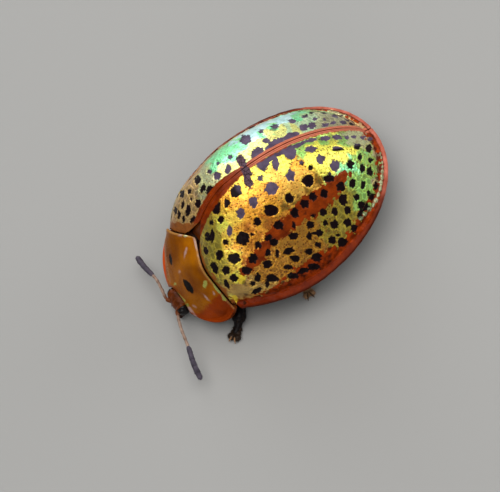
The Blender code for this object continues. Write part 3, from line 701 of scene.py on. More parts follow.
FAINT_SPOTS = (
    (302.3, 162.3, 5, 6), (304.5, 213.3, 2.5, 3), (244.5, 283.2, 5, 5), (245.5, 294.8, 5, 2),
    (282.7, 282.7, 4, 3), (289, 285, 5, 3), (274.5, 289.4, 5, 3), (268.2, 294.1, 4, 3),
    (329.5, 248.6, 4, 5), (329.5, 257.7, 4, 4), (323.2, 264.5, 4, 3), (328.2, 261.8, 3, 3),
)
RIGHT_SPOTS = (
    (228, 169, 6, 9, 15), (217, 176, 7, 7), (230, 157, 4.5, 4), (217.5, 163, 4, 4), (209.5, 171.5, 4, 4.5),
    (197.5, 180, 6, 8, 15), (189, 191, 4, 6, 10), (203, 188.5, 5, 7, 20), (210, 190.5, 8, 9, 20),
    (182, 194, 4, 8, 8), (188, 210, 5, 11, 8), (198, 204, 5, 8, 15), (199.5, 212, 3, 6, 20),
    (182.5, 204.5, 3, 7, 8), (175.5, 211, 3, 7), (183.5, 219, 2.5, 7, -5), (193, 220, 5, 8, 25),
    (179, 215, 3, 7), (191, 199, 2.5, 3),
    (257.5, 153.5, 11, 15, 35), (275, 143.5, 20, 8, -26), (291, 136, 17, 7, -18), (245.5, 139.5, 11, 9, -20),
    (303.5, 127.3, 8, 6, -10), (311.8, 125.6, 8, 6, -10), (325, 124.8, 7, 3.5, -8), (333, 122.5, 5, 3.5, -10),
    (343.5, 122.5, 6, 3, 12), (351.6, 123.7, 5, 2.5, 20), (266, 140.5, 6, 4.5), (261, 131, 5, 3.5),
    (275, 126.3, 8, 4), (292.5, 121, 7, 4), (305, 116.2, 6, 3), (311, 112.3, 5, 2.5), (324, 112.5, 5, 2.5),
    (335, 116, 6, 3, 20), (347.5, 119.6, 5, 2.5, 20), (315, 119, 4, 2.5), (341, 116, 3, 2),
    (325, 119, 3, 2.5),
)
print("spots: %d on the left, %d seen on the right" % (len(LEFT_SPOTS), len(RIGHT_SPOTS)))

# %% Smaller markings and wide patches
# The bead-like row inside the rear rim
PEARLS = (
    (380.5, 153, 1.8, 2.6), (381.6, 157.5, 1.8, 3), (382.4, 162, 2, 2.6), (382.6, 166.5, 2.2, 3.2),
    (382.4, 171.5, 3, 4.6), (382, 176.8, 3.4, 5.6), (381.2, 182.6, 3.2, 5.4), (380.2, 188.6, 3.6, 6),
    (378.3, 194.8, 3.4, 5.4, 15), (376, 200.2, 3.8, 5, 25), (373, 205, 3.4, 5, 35),
    (369.4, 209.4, 3.6, 5, 45), (365, 213.8, 3.4, 4.6, 50), (361, 218.4, 3.4, 4.6, 45),
)
# Dark red-brown cells between that row and the plating
CELLS = (
    (378, 156.5, 5, 8), (379, 169.5, 4.4, 9), (376.8, 178, 4, 4), (369.8, 197, 4, 5, 20),
    (365, 203.5, 4, 5, 30), (374.5, 149, 4, 5), (371.5, 141.5, 4, 4),
)
# Two small patches of bright yellow plating, on the left only: painted highlights
CASE_HIGHLIGHT_FLECKS = ((241.3, 279.5, 8, 10, -20), (235.3, 299.2, 10, 5.5, 50))
# Where the glossy spots face the sky, a painted purple reflection of it: a few wide patches on the left, then
# on the right
LEFT_SKY_SHEEN = (
    (262, 172, 60, 42, -35), (290, 155, 60, 26, -25), (253, 202, 20, 22), (240.7, 213, 13, 17),
    (229.5, 231, 11, 15), (271, 188, 24, 22), (290, 176, 18, 20), (330, 141, 90, 16, -5),
    (336, 166, 18, 18), (320, 159, 16, 14),
)
RIGHT_SKY_SHEEN = ((258, 150, 60, 40, -30), (300, 130, 96, 26, -14), (226, 166, 40, 26, -40))
# The dark crazed patch that crosses the seam
BRIDGE = ((241.5, 161.5, 15, 9, 60), (246.5, 172, 14, 9.5, 60), (248.5, 181.5, 14, 8.5, 65))
# Where the plating is a net of light ribs round darker cells
NETTED = ((282, 270, 84, 34, -28), (332, 238, 64, 40, -45), (354, 190, 40, 64), (213, 258, 22, 66, -22))
RIGHT_NETTED = ((190, 200, 30, 44, 20), (330, 118, 60, 12))
# Where the plating is smooth, with few pits: the front edge and the rear flank, then the far shoulder
LEFT_SLEEK = ((212, 252, 28, 74, -22), (246, 294, 44, 16, -10), (354, 205, 34, 64, 20))
RIGHT_SLEEK = ((190, 198, 30, 50, 20), (335, 118, 50, 12))
# The hook: its centre line from the lower left round to the rear, with its width at each place
HOOK_BAND = (
    (246, 272, 9), (254, 262, 11), (262, 252, 12), (270, 240, 13), (283, 228, 17), (300, 213, 20),
    (315, 203, 23), (328, 192, 20), (338, 183, 15), (346, 175, 9),
)
# The line, from the front to the rear, where the plating ends and the brown side begins
PLATING_ENDS = (
    (238, 307), (245, 304), (260, 295), (280, 284), (291, 274), (300, 264), (310, 260), (321, 254),
    (330, 246), (339, 246), (347, 236), (353, 227), (357, 220), (362, 212), (367.5, 204), (372, 196),
    (376, 184), (377.5, 170), (377, 157), (373.5, 147), (367, 136), (358, 126), (342, 112),
)
print("places along the hook and along the plating's end:", len(HOOK_BAND), len(PLATING_ENDS))

# %% [markdown]
# The tints of the plating are a maker's short list: a name, a colour, and the places where it lies
# strongest, each with how far it spreads. Lemon and flame are painted highlights, and ice and frost are
# painted reflections of the sky. On the far wing case the same plating is seen at another slant and is
# painted cooler and paler, as it looks with more sky reflected in it.

# %% The tints of the plating and its painted sheen
PLATING_TINTS_AND_SHEEN = {
    "gold": colour(244, 170, 58),
    "amber": colour(255, 192, 84),
    "flame_highlight": colour(255, 214, 84),
    "honey": colour(186, 112, 40),
    "lemon_highlight": colour(255, 246, 100),
    "mint": colour(140, 255, 176),
    "leaf": colour(158, 214, 112),
    "olive": colour(166, 150, 58),
    "bronze": colour(184, 130, 48),
    "moss": colour(132, 104, 40),
    "khaki": colour(184, 182, 138),
    "straw": colour(186, 152, 84),
    "ice_sky_reflection": colour(206, 255, 252),
    "frost_sky_reflection": colour(214, 250, 196),
    "lime": colour(254, 255, 150),
    "pale": colour(206, 212, 160),
    "tan": colour(206, 168, 116),
}
# Where each tint lies on the left case; the lemon and flame tints are painted highlights
LEFT_TINTS_AND_SHEEN = {
    "gold": ((250, 212, 14), (250, 200, 12), (262, 205, 12), (250, 250, 10), (296, 168, 9), (262, 232, 10),
             (280, 212, 8), (268, 190, 10), (239, 244, 6)),
    "amber": ((290, 190, 11), (302, 190, 8), (300, 176, 8), (272, 178, 8)),
    "honey": ((250, 224, 6), (262, 216, 8), (270, 225, 8), (258, 234, 6), (280, 216, 6), (262, 246, 8),
              (251, 246, 8), (247, 257, 7)),
    "flame_highlight": ((232, 218, 7), (229, 236, 5), (236, 255, 7), (237, 268, 6), (246, 188, 8), (254, 184, 7)),
    "lemon_highlight": ((262, 176, 6), (272, 161, 6), (284, 164, 6), (332, 155, 11), (316, 152, 9), (345, 151, 7),
              (224, 226, 5), (240, 279, 5), (243, 196, 4), (234, 299.5, 4)),
    "mint": ((345, 165, 6), (339, 176, 5), (353, 170, 5), (363, 157, 3)),
    "leaf": ((304, 144, 7), (298, 150, 5), (325, 141, 5), (362, 190, 8), (374, 168, 7), (366, 176, 7),
             (345, 141, 5), (360, 200, 7), (360, 160, 6), (357, 180, 6), (367, 150, 5)),
    "olive": ((345, 212, 14), (330, 232, 12), (213, 252, 11), (206, 232, 8), (222, 268, 9), (350, 226, 10)),
    "pale": ((368, 142, 6), (374, 152, 5), (376, 166, 4), (358, 138, 5), (350, 139, 4)),
    "bronze": ((310, 245, 11), (290, 262, 12), (268, 268, 11), (285, 240, 10), (308, 226, 8), (255, 266, 7)),
    "straw": ((250, 293, 10), (264, 294, 8), (234, 289, 6), (244, 300, 5)),
    "khaki": ((378, 178, 4),),
    "moss": ((286, 207, 5), (297, 199, 4), (308, 190, 4), (276, 216, 4), (268, 224, 4), (316, 181, 3)),
}
# Where each tint lies on the far right case; the ice and frost tints are painted reflections of the sky
RIGHT_TINTS_AND_SHEEN = {
    "tan": ((190, 190, 10), (184, 205, 10), (194, 212, 10), (350, 121, 5)),
    "khaki": ((203, 196, 6), (340, 118, 7), (330, 116, 5)),
    "pale": ((206, 182, 6), (212, 174, 5), (320, 117, 6), (199, 188, 5)),
    "lime": ((246, 151, 5), (224, 171, 4), (234, 165, 4), (270, 137, 5), (262, 146, 4), (283, 129, 4),
             (298, 128, 4), (252, 146, 4)),
    "mint": ((229, 150, 7), (217, 165, 5), (240, 145, 5), (236, 157, 3), (258, 137, 3), (272, 127, 4),
             (296, 117, 4), (303, 112, 4)),
    "ice_sky_reflection": ((255, 127, 7), (266, 119, 7), (277, 116, 7), (245, 134, 5), (289, 112, 6), (284, 119, 4),
            (233, 143, 3)),
    "frost_sky_reflection": ((307, 120, 6), (303, 125, 4), (313, 117, 4), (290, 128, 3)),
}


PULL_POWER = 6


def tints_and_sheen(pixels, places):
    """The tint and painted sheen at each pixel: each place pulls towards its own colour, the nearer the more.
    """
    total = np.zeros((len(pixels), 3))
    weights = np.full(len(pixels), 1e-9)
    for name, spots in places.items():
        for x, y, spread in spots:
            near = (pixels[:, 0] - x) ** 2 + (pixels[:, 1] - y) ** 2
            pull = 1 / (1 + near / spread**2) ** PULL_POWER
            total += pull[:, None] * np.array(PLATING_TINTS_AND_SHEEN[name])
            weights += pull
    return total / weights[:, None]


print("tints:", ", ".join(PLATING_TINTS_AND_SHEEN))

# %% [markdown]
# The grid of a wing case has the same rows as its CAD solid: each starts at the seam and runs out to the rim.
# Here it has three hundred rows instead of twenty-six.

# %% The grid of a wing case
CASE_ROWS = 300
CASE_COLUMNS = 250
RIM_COLUMNS = 30
CAD_ROWS = 26
SEAM_X = 0.01 * MM
BASE_BULGE = 0.13 * MM
BASE_CORNER_X = 3.5 * MM
SIDE_SHARE = 0.42
SPACING_POWER = 0.9
OPENING_ROWS = 2
LEAD_ROWS = 6
BULGE_ROWS = 1.5
RIM_PROFILE = ((0, 0.3, 0.85, 1), (1, 0.72, 0.25, 0))


def case_edge(inset, front):
    """The points down the side of the outline, inside it by inset, from the front to the apex."""
    split = round(CASE_ROWS * SIDE_SHARE)
    i = np.arange(CASE_ROWS + 1)
    side_y = mix(front, WIDEST_Y, np.minimum(i / split, 1) ** SPACING_POWER)
    angle = math.pi / 2 * np.clip((i - split) / (CASE_ROWS - split), 0, 1)
    reach = APEX_Y - inset - WIDEST_Y
    end_x = (HALF_WIDTH - inset) * np.maximum(np.cos(angle), 0) ** (2 / REAR_POWER)
    end_y = WIDEST_Y + reach * np.sin(angle) ** (2 / REAR_POWER)
    x = np.where(i < split, half_width(side_y, inset), end_x)
    return np.maximum(x, SEAM_X), np.where(i < split, side_y, end_y)


def case_grid():
    """The upper surface of the left wing case, as rows of points from the seam out to the rim."""
    inner_x, inner_y = case_edge(RIM_WIDTH, base_y(BASE_CORNER_X))
    outer_x, outer_y = case_edge(0.0, SHOULDER_Y)
    corner = (BASE_INNER_X, float(base_y(BASE_INNER_X)))
    at = np.arange(CASE_ROWS + 1) * CAD_ROWS / CASE_ROWS
    opened = np.minimum(at / OPENING_ROWS, 1)
    seam_x = mix(corner[0], SEAM_X, opened)
    closed = mix(SEAM_FRONT_Y, APEX_Y - RIM_WIDTH, (at - OPENING_ROWS) / (CAD_ROWS - OPENING_ROWS))
    seam_y = np.where(at < OPENING_ROWS, mix(corner[1], SEAM_FRONT_Y, opened), closed)
    lead = np.maximum(1 - at / LEAD_ROWS, 0) ** 2
    t = np.linspace(0, 1, CASE_COLUMNS) ** SPACING_POWER
    x = mix(seam_x[:, None], inner_x[:, None], t)
    y = mix(seam_y[:, None], inner_y[:, None], t)
    chord = mix(corner[1], inner_y[0], t)
    y = y + lead[:, None] * (base_y(mix(corner[0], inner_x[0], t)) - chord)
    y = y - BASE_BULGE * np.maximum(1 - at / BULGE_ROWS, 0)[:, None] * smooth(0, 0.1, t)
    z = shell_height(x, y) + BEAD_HEIGHT * np.exp(-((x / BEAD_WIDTH) ** 2))
    out = np.linspace(0, 1, RIM_COLUMNS + 2)[1:]
    rim_x = mix(inner_x[:, None], outer_x[:, None], out)
    rim_y = mix(inner_y[:, None], outer_y[:, None], out)
    rim_z = np.broadcast_to(RIM_RISE * np.interp(out, *RIM_PROFILE), rim_x.shape)
    rows = [np.concatenate(pair, axis=1) for pair in ((x, rim_x), (y, rim_y), (z, rim_z))]
    return np.stack(rows, axis=-1)


case_points = case_grid()
print("wing case grid:", case_points.shape[:2])

# %% [markdown]
# Each point of the grid then learns where it lies: how deep in a spot, in the hook, in the brown side, in
# the rim or in the seam band. A point of the right wing case takes its own place in the photograph where
# the camera sees it. Where it is turned away, or hidden behind the dome, it takes the place of its mirror
# image on the left one.

# %% Helpers for the marks
SIGHT_CLEARANCE = 0.1 * MM
DOME_STRIDE = 5


def mirrored(points):
    """The same points on the beetle's other side."""
    return points * np.array((-1, 1, 1))


def outline_distance(points, outline):
    """How far each point lies from an outline, seen from above."""
    tree = KDTree(len(outline))
    for i, place in enumerate(outline):
        tree.insert((place[0], place[1], 0), i)
    tree.balance()
    return np.array([tree.find((x, y, 0))[2] for x, y in points[:, :2].tolist()])


def in_view(points, normals):
    """Whether the camera sees each point past the dome of the wing cases."""
    dome = case_points[::DOME_STRIDE, ::DOME_STRIDE]
    faces = grid_faces(numbered(*dome.shape[:2]))
    corners = dome.reshape(-1, 3)
    both = np.concatenate((corners, mirrored(corners)))
    tree = BVHTree.FromPolygons(both.tolist(), np.concatenate((faces, faces + len(corners))).tolist())
    starts = points + normals * SIGHT_CLEARANCE
    ways = np.array(CAMERA_AT) - BODY_ORIGIN - starts
    return np.array([tree.ray_cast(*ray)[0] is None for ray in zip(starts.tolist(), ways.tolist())])


print("points of the dome that can hide others:", case_points[::DOME_STRIDE, ::DOME_STRIDE, 0].size)

# %% Marks of a wing case
SPOT_SPREAD = 0.35
SPOT_LOBES = 0.07
VEIN_OUT = 1.3
VEIN_SPREAD = 0.9
TINT_PATCH = 0.9 * MM
TINT_DRIFT = 5.5
SEAM_RIDGES = (0.08 * MM, 0.20 * MM)
SEAM_RIDGE = 0.04 * MM
SMALL_MARKS = {"faint": FAINT_SPOTS, "pearl": PEARLS, "cell": CELLS, "bridge": BRIDGE, "fleck": CASE_HIGHLIGHT_FLECKS}


def left_markings(pixels, drift):
    """How deep each pixel lies in each marking of the left wing case, and its plating's tint and painted
    sheen.
    """
    marks = {}
    distance, _, share = line_field(pixels, HOOK_BAND)
    widths = np.interp(share * (len(HOOK_BAND) - 1), range(len(HOOK_BAND)), [p[2] for p in HOOK_BAND])
    marks["hook"] = widths / 2 - distance
    distance, side, _ = line_field(pixels, PLATING_ENDS)
    marks["side"] = distance * side
    marks["spot"] = blot_field(pixels, LEFT_SPOTS, SPOT_LOBES) + SPOT_SPREAD
    for name, blots in SMALL_MARKS.items():
        marks[name] = blot_field(pixels, blots, SPOT_LOBES)
    marks["spot_sky_sheen"] = smooth(-3, 3, blot_field(pixels, LEFT_SKY_SHEEN))
    marks["netted"] = smooth(-3, 6, blot_field(pixels, NETTED))
    marks["sleek"] = smooth(-3, 5, blot_field(pixels, LEFT_SLEEK))
    marks["plating_tint_and_sheen"] = tints_and_sheen(pixels + drift, LEFT_TINTS_AND_SHEEN)
    return marks


def use_right_markings(marks, points, normals, drift):
    """Gives the points that the camera sees their own markings; returns which points those are."""
    pixels = to_pixels(points + BODY_ORIGIN)
    seen = smooth(0.05, 0.25, facing(points + BODY_ORIGIN, normals)) * in_view(points, normals)
    spots = blot_field(pixels, RIGHT_SPOTS, SPOT_LOBES) + SPOT_SPREAD
    marks["spot"] = np.where(seen > 0.5, spots, marks["spot"])
    marks["spot_sky_sheen"] = mix(marks["spot_sky_sheen"], smooth(-3, 3, blot_field(pixels, RIGHT_SKY_SHEEN)), seen)
    marks["bridge"] = np.where(seen > 0.5, blot_field(pixels, BRIDGE, SPOT_LOBES), OUTSIDE)
    marks["netted"] = mix(marks["netted"], smooth(-3, 5, blot_field(pixels, RIGHT_NETTED)), seen)
    marks["sleek"] = mix(marks["sleek"], smooth(-3, 5, blot_field(pixels, RIGHT_SLEEK)), seen)
    tints = tints_and_sheen(pixels + drift, RIGHT_TINTS_AND_SHEEN)
    marks["plating_tint_and_sheen"] = mix(marks["plating_tint_and_sheen"], tints, seen[:, None])
    for name in ("hook", "side", "pearl", "cell", "fleck"):
        marks[name] = np.where(seen > 0.5, OUTSIDE, marks[name])
    return seen > 0.5


def case_marks(points, normals, left):
    """Where each point of a wing case lies among its markings and along its edges."""
    as_left = points if left else mirrored(points)
    drift = np.stack((waves(points, TINT_PATCH, 1.0, 3), waves(points, TINT_PATCH, 5.0, 3)), axis=1)
    drift = drift * TINT_DRIFT
    marks = left_markings(to_pixels(as_left + BODY_ORIGIN), drift)
    if not left:
        seen = use_right_markings(marks, points, normals, drift)
    x, y = np.abs(points[:, 0]), points[:, 1]
    seam_half = mix(0.50 if left else 0.52, 0.28, smooth(-2.0 * MM, 0.9 * MM, y)) * MM
    marks["seam"] = (seam_half - x) / PIXEL
    base_width = 0.17 * MM if left else mix(0.48, 0.2, smooth(1.5 * MM, 3.4 * MM, x)) * MM
    marks["base"] = (base_width - (y - base_y(x) + BASE_BULGE) * 0.8) / PIXEL
    # Ridges beside the seam: raised, and painted with a pinkish highlight
    marks["ridge_and_highlight"] = sum(np.exp(-(((x - place) / SEAM_RIDGE) ** 2)) for place in SEAM_RIDGES)
    marks["behind"] = smooth(-1.0 * MM, 1.8 * MM, y)
    edge = outline_distance(as_left, case_points[:, -1])
    if left:
        rim_share = mix(0.9, 0.46, smooth(2 * MM, 6 * MM, y))
    else:
        rim_share = mix(0.9, 0.4, smooth(-2 * MM, 0, y))
    marks["rim"] = (RIM_WIDTH * rim_share - edge) / PIXEL
    if not left:
        marks["side"] = np.where(seen, marks["rim"] + 1.5, marks["side"])
    marks["vein"] = np.exp(-(((marks["spot"] + VEIN_OUT) / VEIN_SPREAD) ** 2)) * (1 - marks["spot_sky_sheen"])
    # Where the rim is painted lighter and pinker at the rear, partly a highlight
    marks["rear_rim_and_highlight"] = smooth(5.2 * MM, 8.0 * MM, y)
    # The lip: a painted shade along the rim's outer edge, where it bends under, except at the rear
    marks["lip"] = (1 - smooth(0.03 * MM, 0.2 * MM, edge)) * (1 - marks["rear_rim_and_highlight"])
    return marks


print("small marks:", ", ".join(SMALL_MARKS))

# %% [markdown]
# The marks shape the relief first. Spots lie a little deeper than the plating, the hook and the ridges
# beside the seam stand up, the bead-like row is raised, and the brown side is wrinkled. Moving the points
# of the fine mesh makes all of it real shape. The same marks, kept on the mesh, later paint it.

# %% Relief of a wing case
CASE_THICKNESS = 0.28 * MM
CASE_STRIDE = 5


def case_relief(points, marks):
    """How far each point stands above the smooth shell: millimetres, turned into metres at the end."""
    x, y = np.abs(points[:, 0]), points[:, 1]
    spot = smooth(-0.8, 1.2, marks["spot"])
    hook = smooth(-1.0, 2.0, marks["hook"])
    side = smooth(-1.5, 2.5, marks["side"])
    band = smooth(-1.0, 1.5, marks["seam"])
    rim = smooth(-1.0, 1.0, marks["rim"])
    lumps = waves(points, 0.7 * MM, 3.0) * 0.008 + waves(points, 0.2 * MM, 9.0) * 0.005
    creases = np.abs(waves(points, 0.6 * MM, 21.0)) + 0.5 * np.abs(waves(points, 0.3 * MM, 5.0))
    relief = lumps * (1 - 0.7 * band) * (1 - 0.8 * rim)
    relief += (0.05 - 0.10 * creases) * side * (1 - rim)
    relief += hook * 0.022 * (1 - spot)
    relief -= 0.03 * spot * (1 - 0.6 * band)
    relief += 0.014 * marks["vein"] * (1 - band) * (1 - rim)
    relief += 0.03 * smooth(-1.0, 1.5, marks["pearl"])
    relief -= 0.05 * np.exp(-(((marks["rim"] + 0.3) / 1.2) ** 2))
    relief += 0.02 * waves(points, 0.45 * MM, 14.0) * rim
    relief += 0.028 * marks["ridge_and_highlight"] * smooth(-4.2 * MM, -3.2 * MM, y)
    relief -= 0.03 * np.exp(-((x / (0.03 * MM)) ** 2))
    return relief * MM


def build_case(side):
    """One wing case: a closed sheet from the grid, raised and sunk by its marks, which it keeps."""
    left = side == "left"
    grid = case_points if left else mirrored(case_points[::-1])
    normals = grid_normals(grid)
    normals[normals[..., 2] < 0] *= -1
    mesh = plate_mesh("wing_case_" + side, grid, CASE_THICKNESS, CASE_STRIDE, normals)
    tidy_mesh(mesh)
    points, normals = vertex_table(mesh)
    marks = case_marks(points, normals, left)
    above = points[:, 2] - shell_height(points[:, 0], points[:, 1])
    outer = np.maximum(smooth(-0.03 * MM, 0.02 * MM, above + 0.1 * MM), marks["rim"] > 0)
    upper = (normals[:, 2] > -0.05) * outer
    lifted = points + normals * (case_relief(points, marks) * upper)[:, None]
    mesh.vertices.foreach_set("co", np.clip(lifted + BODY_ORIGIN, *np.array(CAD_BOX)).ravel())
    mesh.update()
    for name, values in marks.items():
        store(mesh, name, values)
    store(mesh, "upper", upper)
    return mesh


case_meshes = {side: build_case(side) for side in ("left", "right")}
print("points on a wing case:", len(case_meshes["left"].vertices))

# %% [markdown]
# The material of the wing cases reads those marks. Plating is metallic with a thin clear coat. The hook,
# the brown side, the seam and the rim are bare shell, a warm non-metal, and the spots are glossy and nearly
# black. Each border is drawn by the shared ragged mask, so it is crisp but never a clean machine line. The
# layers could be painted as images, but shader nodes stay sharp at any distance.

# %% Edges and tones of the wing cases
# How each mark's edge looks: raggedness and softness in pixels of the photograph, grain in millimetres
CASE_EDGES = {
    "spot": (2.6, 0.45, 0.24),
    "faint": (3.0, 0.9, 0.20),
    "hook": (9.0, 0.6, 0.42),
    "side": (12.0, 0.9, 0.45),
    "seam": (2.0, 0.7, 0.30),
    "base": (5.0, 0.8, 0.55),
    "rim": (2.0, 0.8, 0.30),
    "pearl": (1.0, 0.6, 0.20),
    "fleck": (1.6, 0.6, 0.2),
    "cell": (1.6, 0.6, 0.2),
    "bridge": (2.5, 0.7, 0.2),
}
# Two tones of each kind of shell, which a mottling mixes
CASE_TONES = {
    "hook": (colour(80, 24, 4), colour(158, 62, 10)),
    "side": (colour(44, 10, 2), colour(164, 58, 6)),
    "spot": (colour(8, 4, 5), colour(26, 12, 16)),
    # A purple tone painted on spots that face the sky: a painted reflection
    "spot sky sheen": (colour(60, 48, 64), colour(98, 84, 106)),
    "front seam": (colour(78, 18, 0), colour(146, 52, 0)),
    "rear seam": (colour(108, 30, 5), colour(166, 62, 16)),
    "bridge": (colour(84, 62, 74), colour(24, 12, 16)),
    "base": (colour(98, 50, 18), colour(158, 94, 40)),
    # Rim tones, partly painted light: darker at the sides as painted shade, pinker at the rear as painted
    # highlight
    "rim": (colour(82, 19, 1), colour(132, 44, 3)),
    "rear rim and highlight": (colour(140, 56, 34), colour(206, 118, 98)),
}


def ragged_mask(tree, name, raggedness, softness, grain):
    """A mask with a ragged edge from a stored distance."""
    values = {"Distance": stored(tree, name), "Raggedness": raggedness, "Softness": softness,
              "Grain size": grain}
    return use(tree, RAGGED, values).outputs["Mask"]


print("tones of bare shell:", ", ".join(CASE_TONES))

# %% Plating and shell of the wing cases
def plated_colour(tree, patches, pits, grain, lines, ribs, netted):
    """The tint and painted sheen of the plating, mottled, netted with light ribs, crackled and pitted."""
    bright = maths(tree, "MULTIPLY_ADD", patches, 0.7, 0.72)
    bright = maths(tree, "MULTIPLY_ADD", netted, maths(tree, "MULTIPLY_ADD", ribs, 0.65, -0.26), bright)
    grey = node(tree, "CombineColor", {0: bright, 1: bright, 2: bright}).outputs[0]
    plating_tint_and_sheen = tint(tree, 1.0, stored(tree, "plating_tint_and_sheen", "Color"), grey, "MULTIPLY")
    paleness = node(tree, "SeparateColor", {0: plating_tint_and_sheen}).outputs[2]
    sleek = maths(tree, "MULTIPLY_ADD", stored(tree, "sleek"), -0.75, 1.0)
    clear = maths(tree, "MULTIPLY", maths(tree, "MULTIPLY_ADD", paleness, -0.75, 1.0), sleek)
    fading = maths(tree, "MULTIPLY", maths(tree, "MULTIPLY_ADD", patches, 0.8, 0.2), clear)
    crackled = maths(tree, "MULTIPLY", lines, weakened(tree, clear, 0.5))
    plating_tint_and_sheen = tint(tree, crackled, plating_tint_and_sheen, colour(166, 90, 26))
    grained = maths(tree, "MULTIPLY", grain.outputs["Mask"], fading)
    plating_tint_and_sheen = tint(tree, grained, plating_tint_and_sheen, colour(146, 76, 16))
    pitted = maths(tree, "MULTIPLY", pits.outputs["Mask"], weakened(tree, clear, 0.8))
    plating_tint_and_sheen = tint(tree, pitted, plating_tint_and_sheen, colour(96, 44, 12))
    vein = weakened(tree, stored(tree, "vein"), 0.5)
    return tint(tree, vein, plating_tint_and_sheen, colour(255, 236, 150), "SOFT_LIGHT")


def case_colour(tree, plating_tint_and_sheen, masks, patches, streaks, lines, under):
    """The plating with everything that lies over it, from the hook to the rim and the underside."""
    def toned(name, factor=patches):
        """The two tones of a kind of shell, mottled by a factor."""
        return tint(tree, factor, *CASE_TONES[name])

    shell = tint(tree, masks["hook"], plating_tint_and_sheen, toned("hook"))
    shell = tint(tree, masks["side"], shell, toned("side", streaks))
    # Bright yellow flecks: painted highlights
    shell = tint(tree, weakened(tree, masks["fleck"], 0.9), shell, colour(255, 222, 54))
    shell = tint(tree, weakened(tree, masks["cell"], 0.85), shell, colour(74, 24, 12))
    shell = tint(tree, weakened(tree, masks["faint"], 0.65), shell, colour(40, 14, 8))
    # Spots that face the sky take a painted purple reflection of it
    spot = tint(tree, stored(tree, "spot_sky_sheen"), toned("spot"), toned("spot sky sheen"))
    shell = tint(tree, masks["spot"], shell, spot)
    behind = stored(tree, "behind")
    seam = tint(tree, behind, toned("front seam"), toned("rear seam"))
    # A painted pinkish highlight along the ridges beside the seam, strongest towards the rear
    ridge_and_highlight = maths(tree, "MULTIPLY", stored(tree, "ridge_and_highlight"), behind)
    seam = tint(tree, weakened(tree, ridge_and_highlight, 0.7), seam, colour(224, 142, 114))
    shell = tint(tree, masks["seam"], shell, seam)
    shell = tint(tree, masks["bridge"], shell, toned("bridge", lines))
    shell = tint(tree, masks["base"], shell, toned("base"))
    # The rim: a pinker rear that is partly painted highlight, and a lip of painted shade along its outer edge
    rim = tint(tree, stored(tree, "rear_rim_and_highlight"), toned("rim"), toned("rear rim and highlight"))
    rim = tint(tree, weakened(tree, stored(tree, "lip"), 0.75), rim, colour(40, 10, 3))
    shell = tint(tree, masks["rim"], shell, rim)
    shell = tint(tree, weakened(tree, masks["pearl"], 0.85), shell, colour(148, 160, 122))
    return tint(tree, under, shell, colour(70, 28, 10))


print("layers of colour: plating, then", ", ".join(CASE_EDGES))

# %% The material of the wing cases
def wing_case_material():
    """Colour, metal, gloss and fine relief of the wing cases."""
    material, tree, shader = new_material("wing_case_shell", Coat_Roughness=0.14, Coat_IOR=1.5, IOR=1.4,
                                          Specular_IOR_Level=0.04)
    masks = {name: ragged_mask(tree, name, *edge) for name, edge in CASE_EDGES.items()}
    mottle = use(tree, MOTTLE, {"Size": 0.55, "Contrast": 1.6})
    patches = mottle.outputs["Factor"]
    streaks = use(tree, MOTTLE, {"Size": 0.45, "Contrast": 2.2}).outputs["Factor"]
    pits = use(tree, PITS, {"Spacing": 0.21, "Radius": 0.27, "Share": 0.95})
    grain = use(tree, PITS, {"Spacing": 0.14, "Radius": 0.25, "Share": 0.8})
    lines = use(tree, CRACKLE, {"Spacing": 0.30, "Width": 0.10}).outputs["Mask"]
    ribs = use(tree, CRACKLE, {"Spacing": 0.42, "Width": 0.16}).outputs["Mask"]
    netted = stored(tree, "netted")
    under = maths(tree, "SUBTRACT", 1.0, stored(tree, "upper"))

    plating_tint_and_sheen = plated_colour(tree, patches, pits, grain, lines, ribs, netted)
    shell = case_colour(tree, plating_tint_and_sheen, masks, patches, streaks, lines, under)
    tree.links.new(shell, shader.inputs["Base Color"])

    unplated = [masks[name] for name in ("hook", "side", "seam", "rim", "base", "spot", "bridge", "cell")]
    bare = largest(tree, *unplated, under)
    metal = maths(tree, "MAXIMUM", maths(tree, "SUBTRACT", 1.0, bare), masks["pearl"])
    tree.links.new(weakened(tree, metal, 0.86), shader.inputs["Metallic"])
    rough = maths(tree, "MULTIPLY_ADD", mottle.outputs["Fine"], 0.2, 0.24)
    rough = maths(tree, "MULTIPLY_ADD", masks["spot"], -0.08, rough)
    tree.links.new(rough, shader.inputs["Roughness"])
    glossy = maths(tree, "MULTIPLY_ADD", bare, -0.24, 0.3)
    glossy = maths(tree, "MULTIPLY_ADD", masks["seam"], 0.05, glossy)
    tree.links.new(glossy, shader.inputs["Coat Weight"])

    relief = maths(tree, "MULTIPLY_ADD", mottle.outputs["Fine"], 0.6, pits.outputs["Relief"])
    relief = maths(tree, "MULTIPLY_ADD", grain.outputs["Relief"], 0.5, relief)
    relief = maths(tree, "MULTIPLY_ADD", lines, -0.4, relief)
    relief = maths(tree, "MULTIPLY_ADD", maths(tree, "MULTIPLY", ribs, netted), 0.8, relief)
    bump = node(tree, "Bump", {"Strength": 0.6, "Distance": 0.026 * MM, "Height": relief})
    tree.links.new(bump.outputs["Normal"], shader.inputs["Normal"])
    return material


wing_case_finish = wing_case_material()
for side, mesh in case_meshes.items():
    show("wing_case_" + side, mesh, wing_case_finish, "wing_case", "elytron_" + side)

# %% [markdown]
# ## The neck shield
# The pronotum is the plate over the neck: a steep crescent, glossy amber and slightly see-through, with a
# red border, two slanting black spots, a pale raised line along its hind edge, partly a painted highlight,
# and a few flecks of the same green and gold plating. Small painted glints stand for its highlights, and a
# painted shade darkens its middle. It is made as the wing cases are, from a fine grid over the CAD's own
# formula. Its amber depth is painted as cloudy tones under a clear coat, since light that passed through so
# thin a plate would show little.

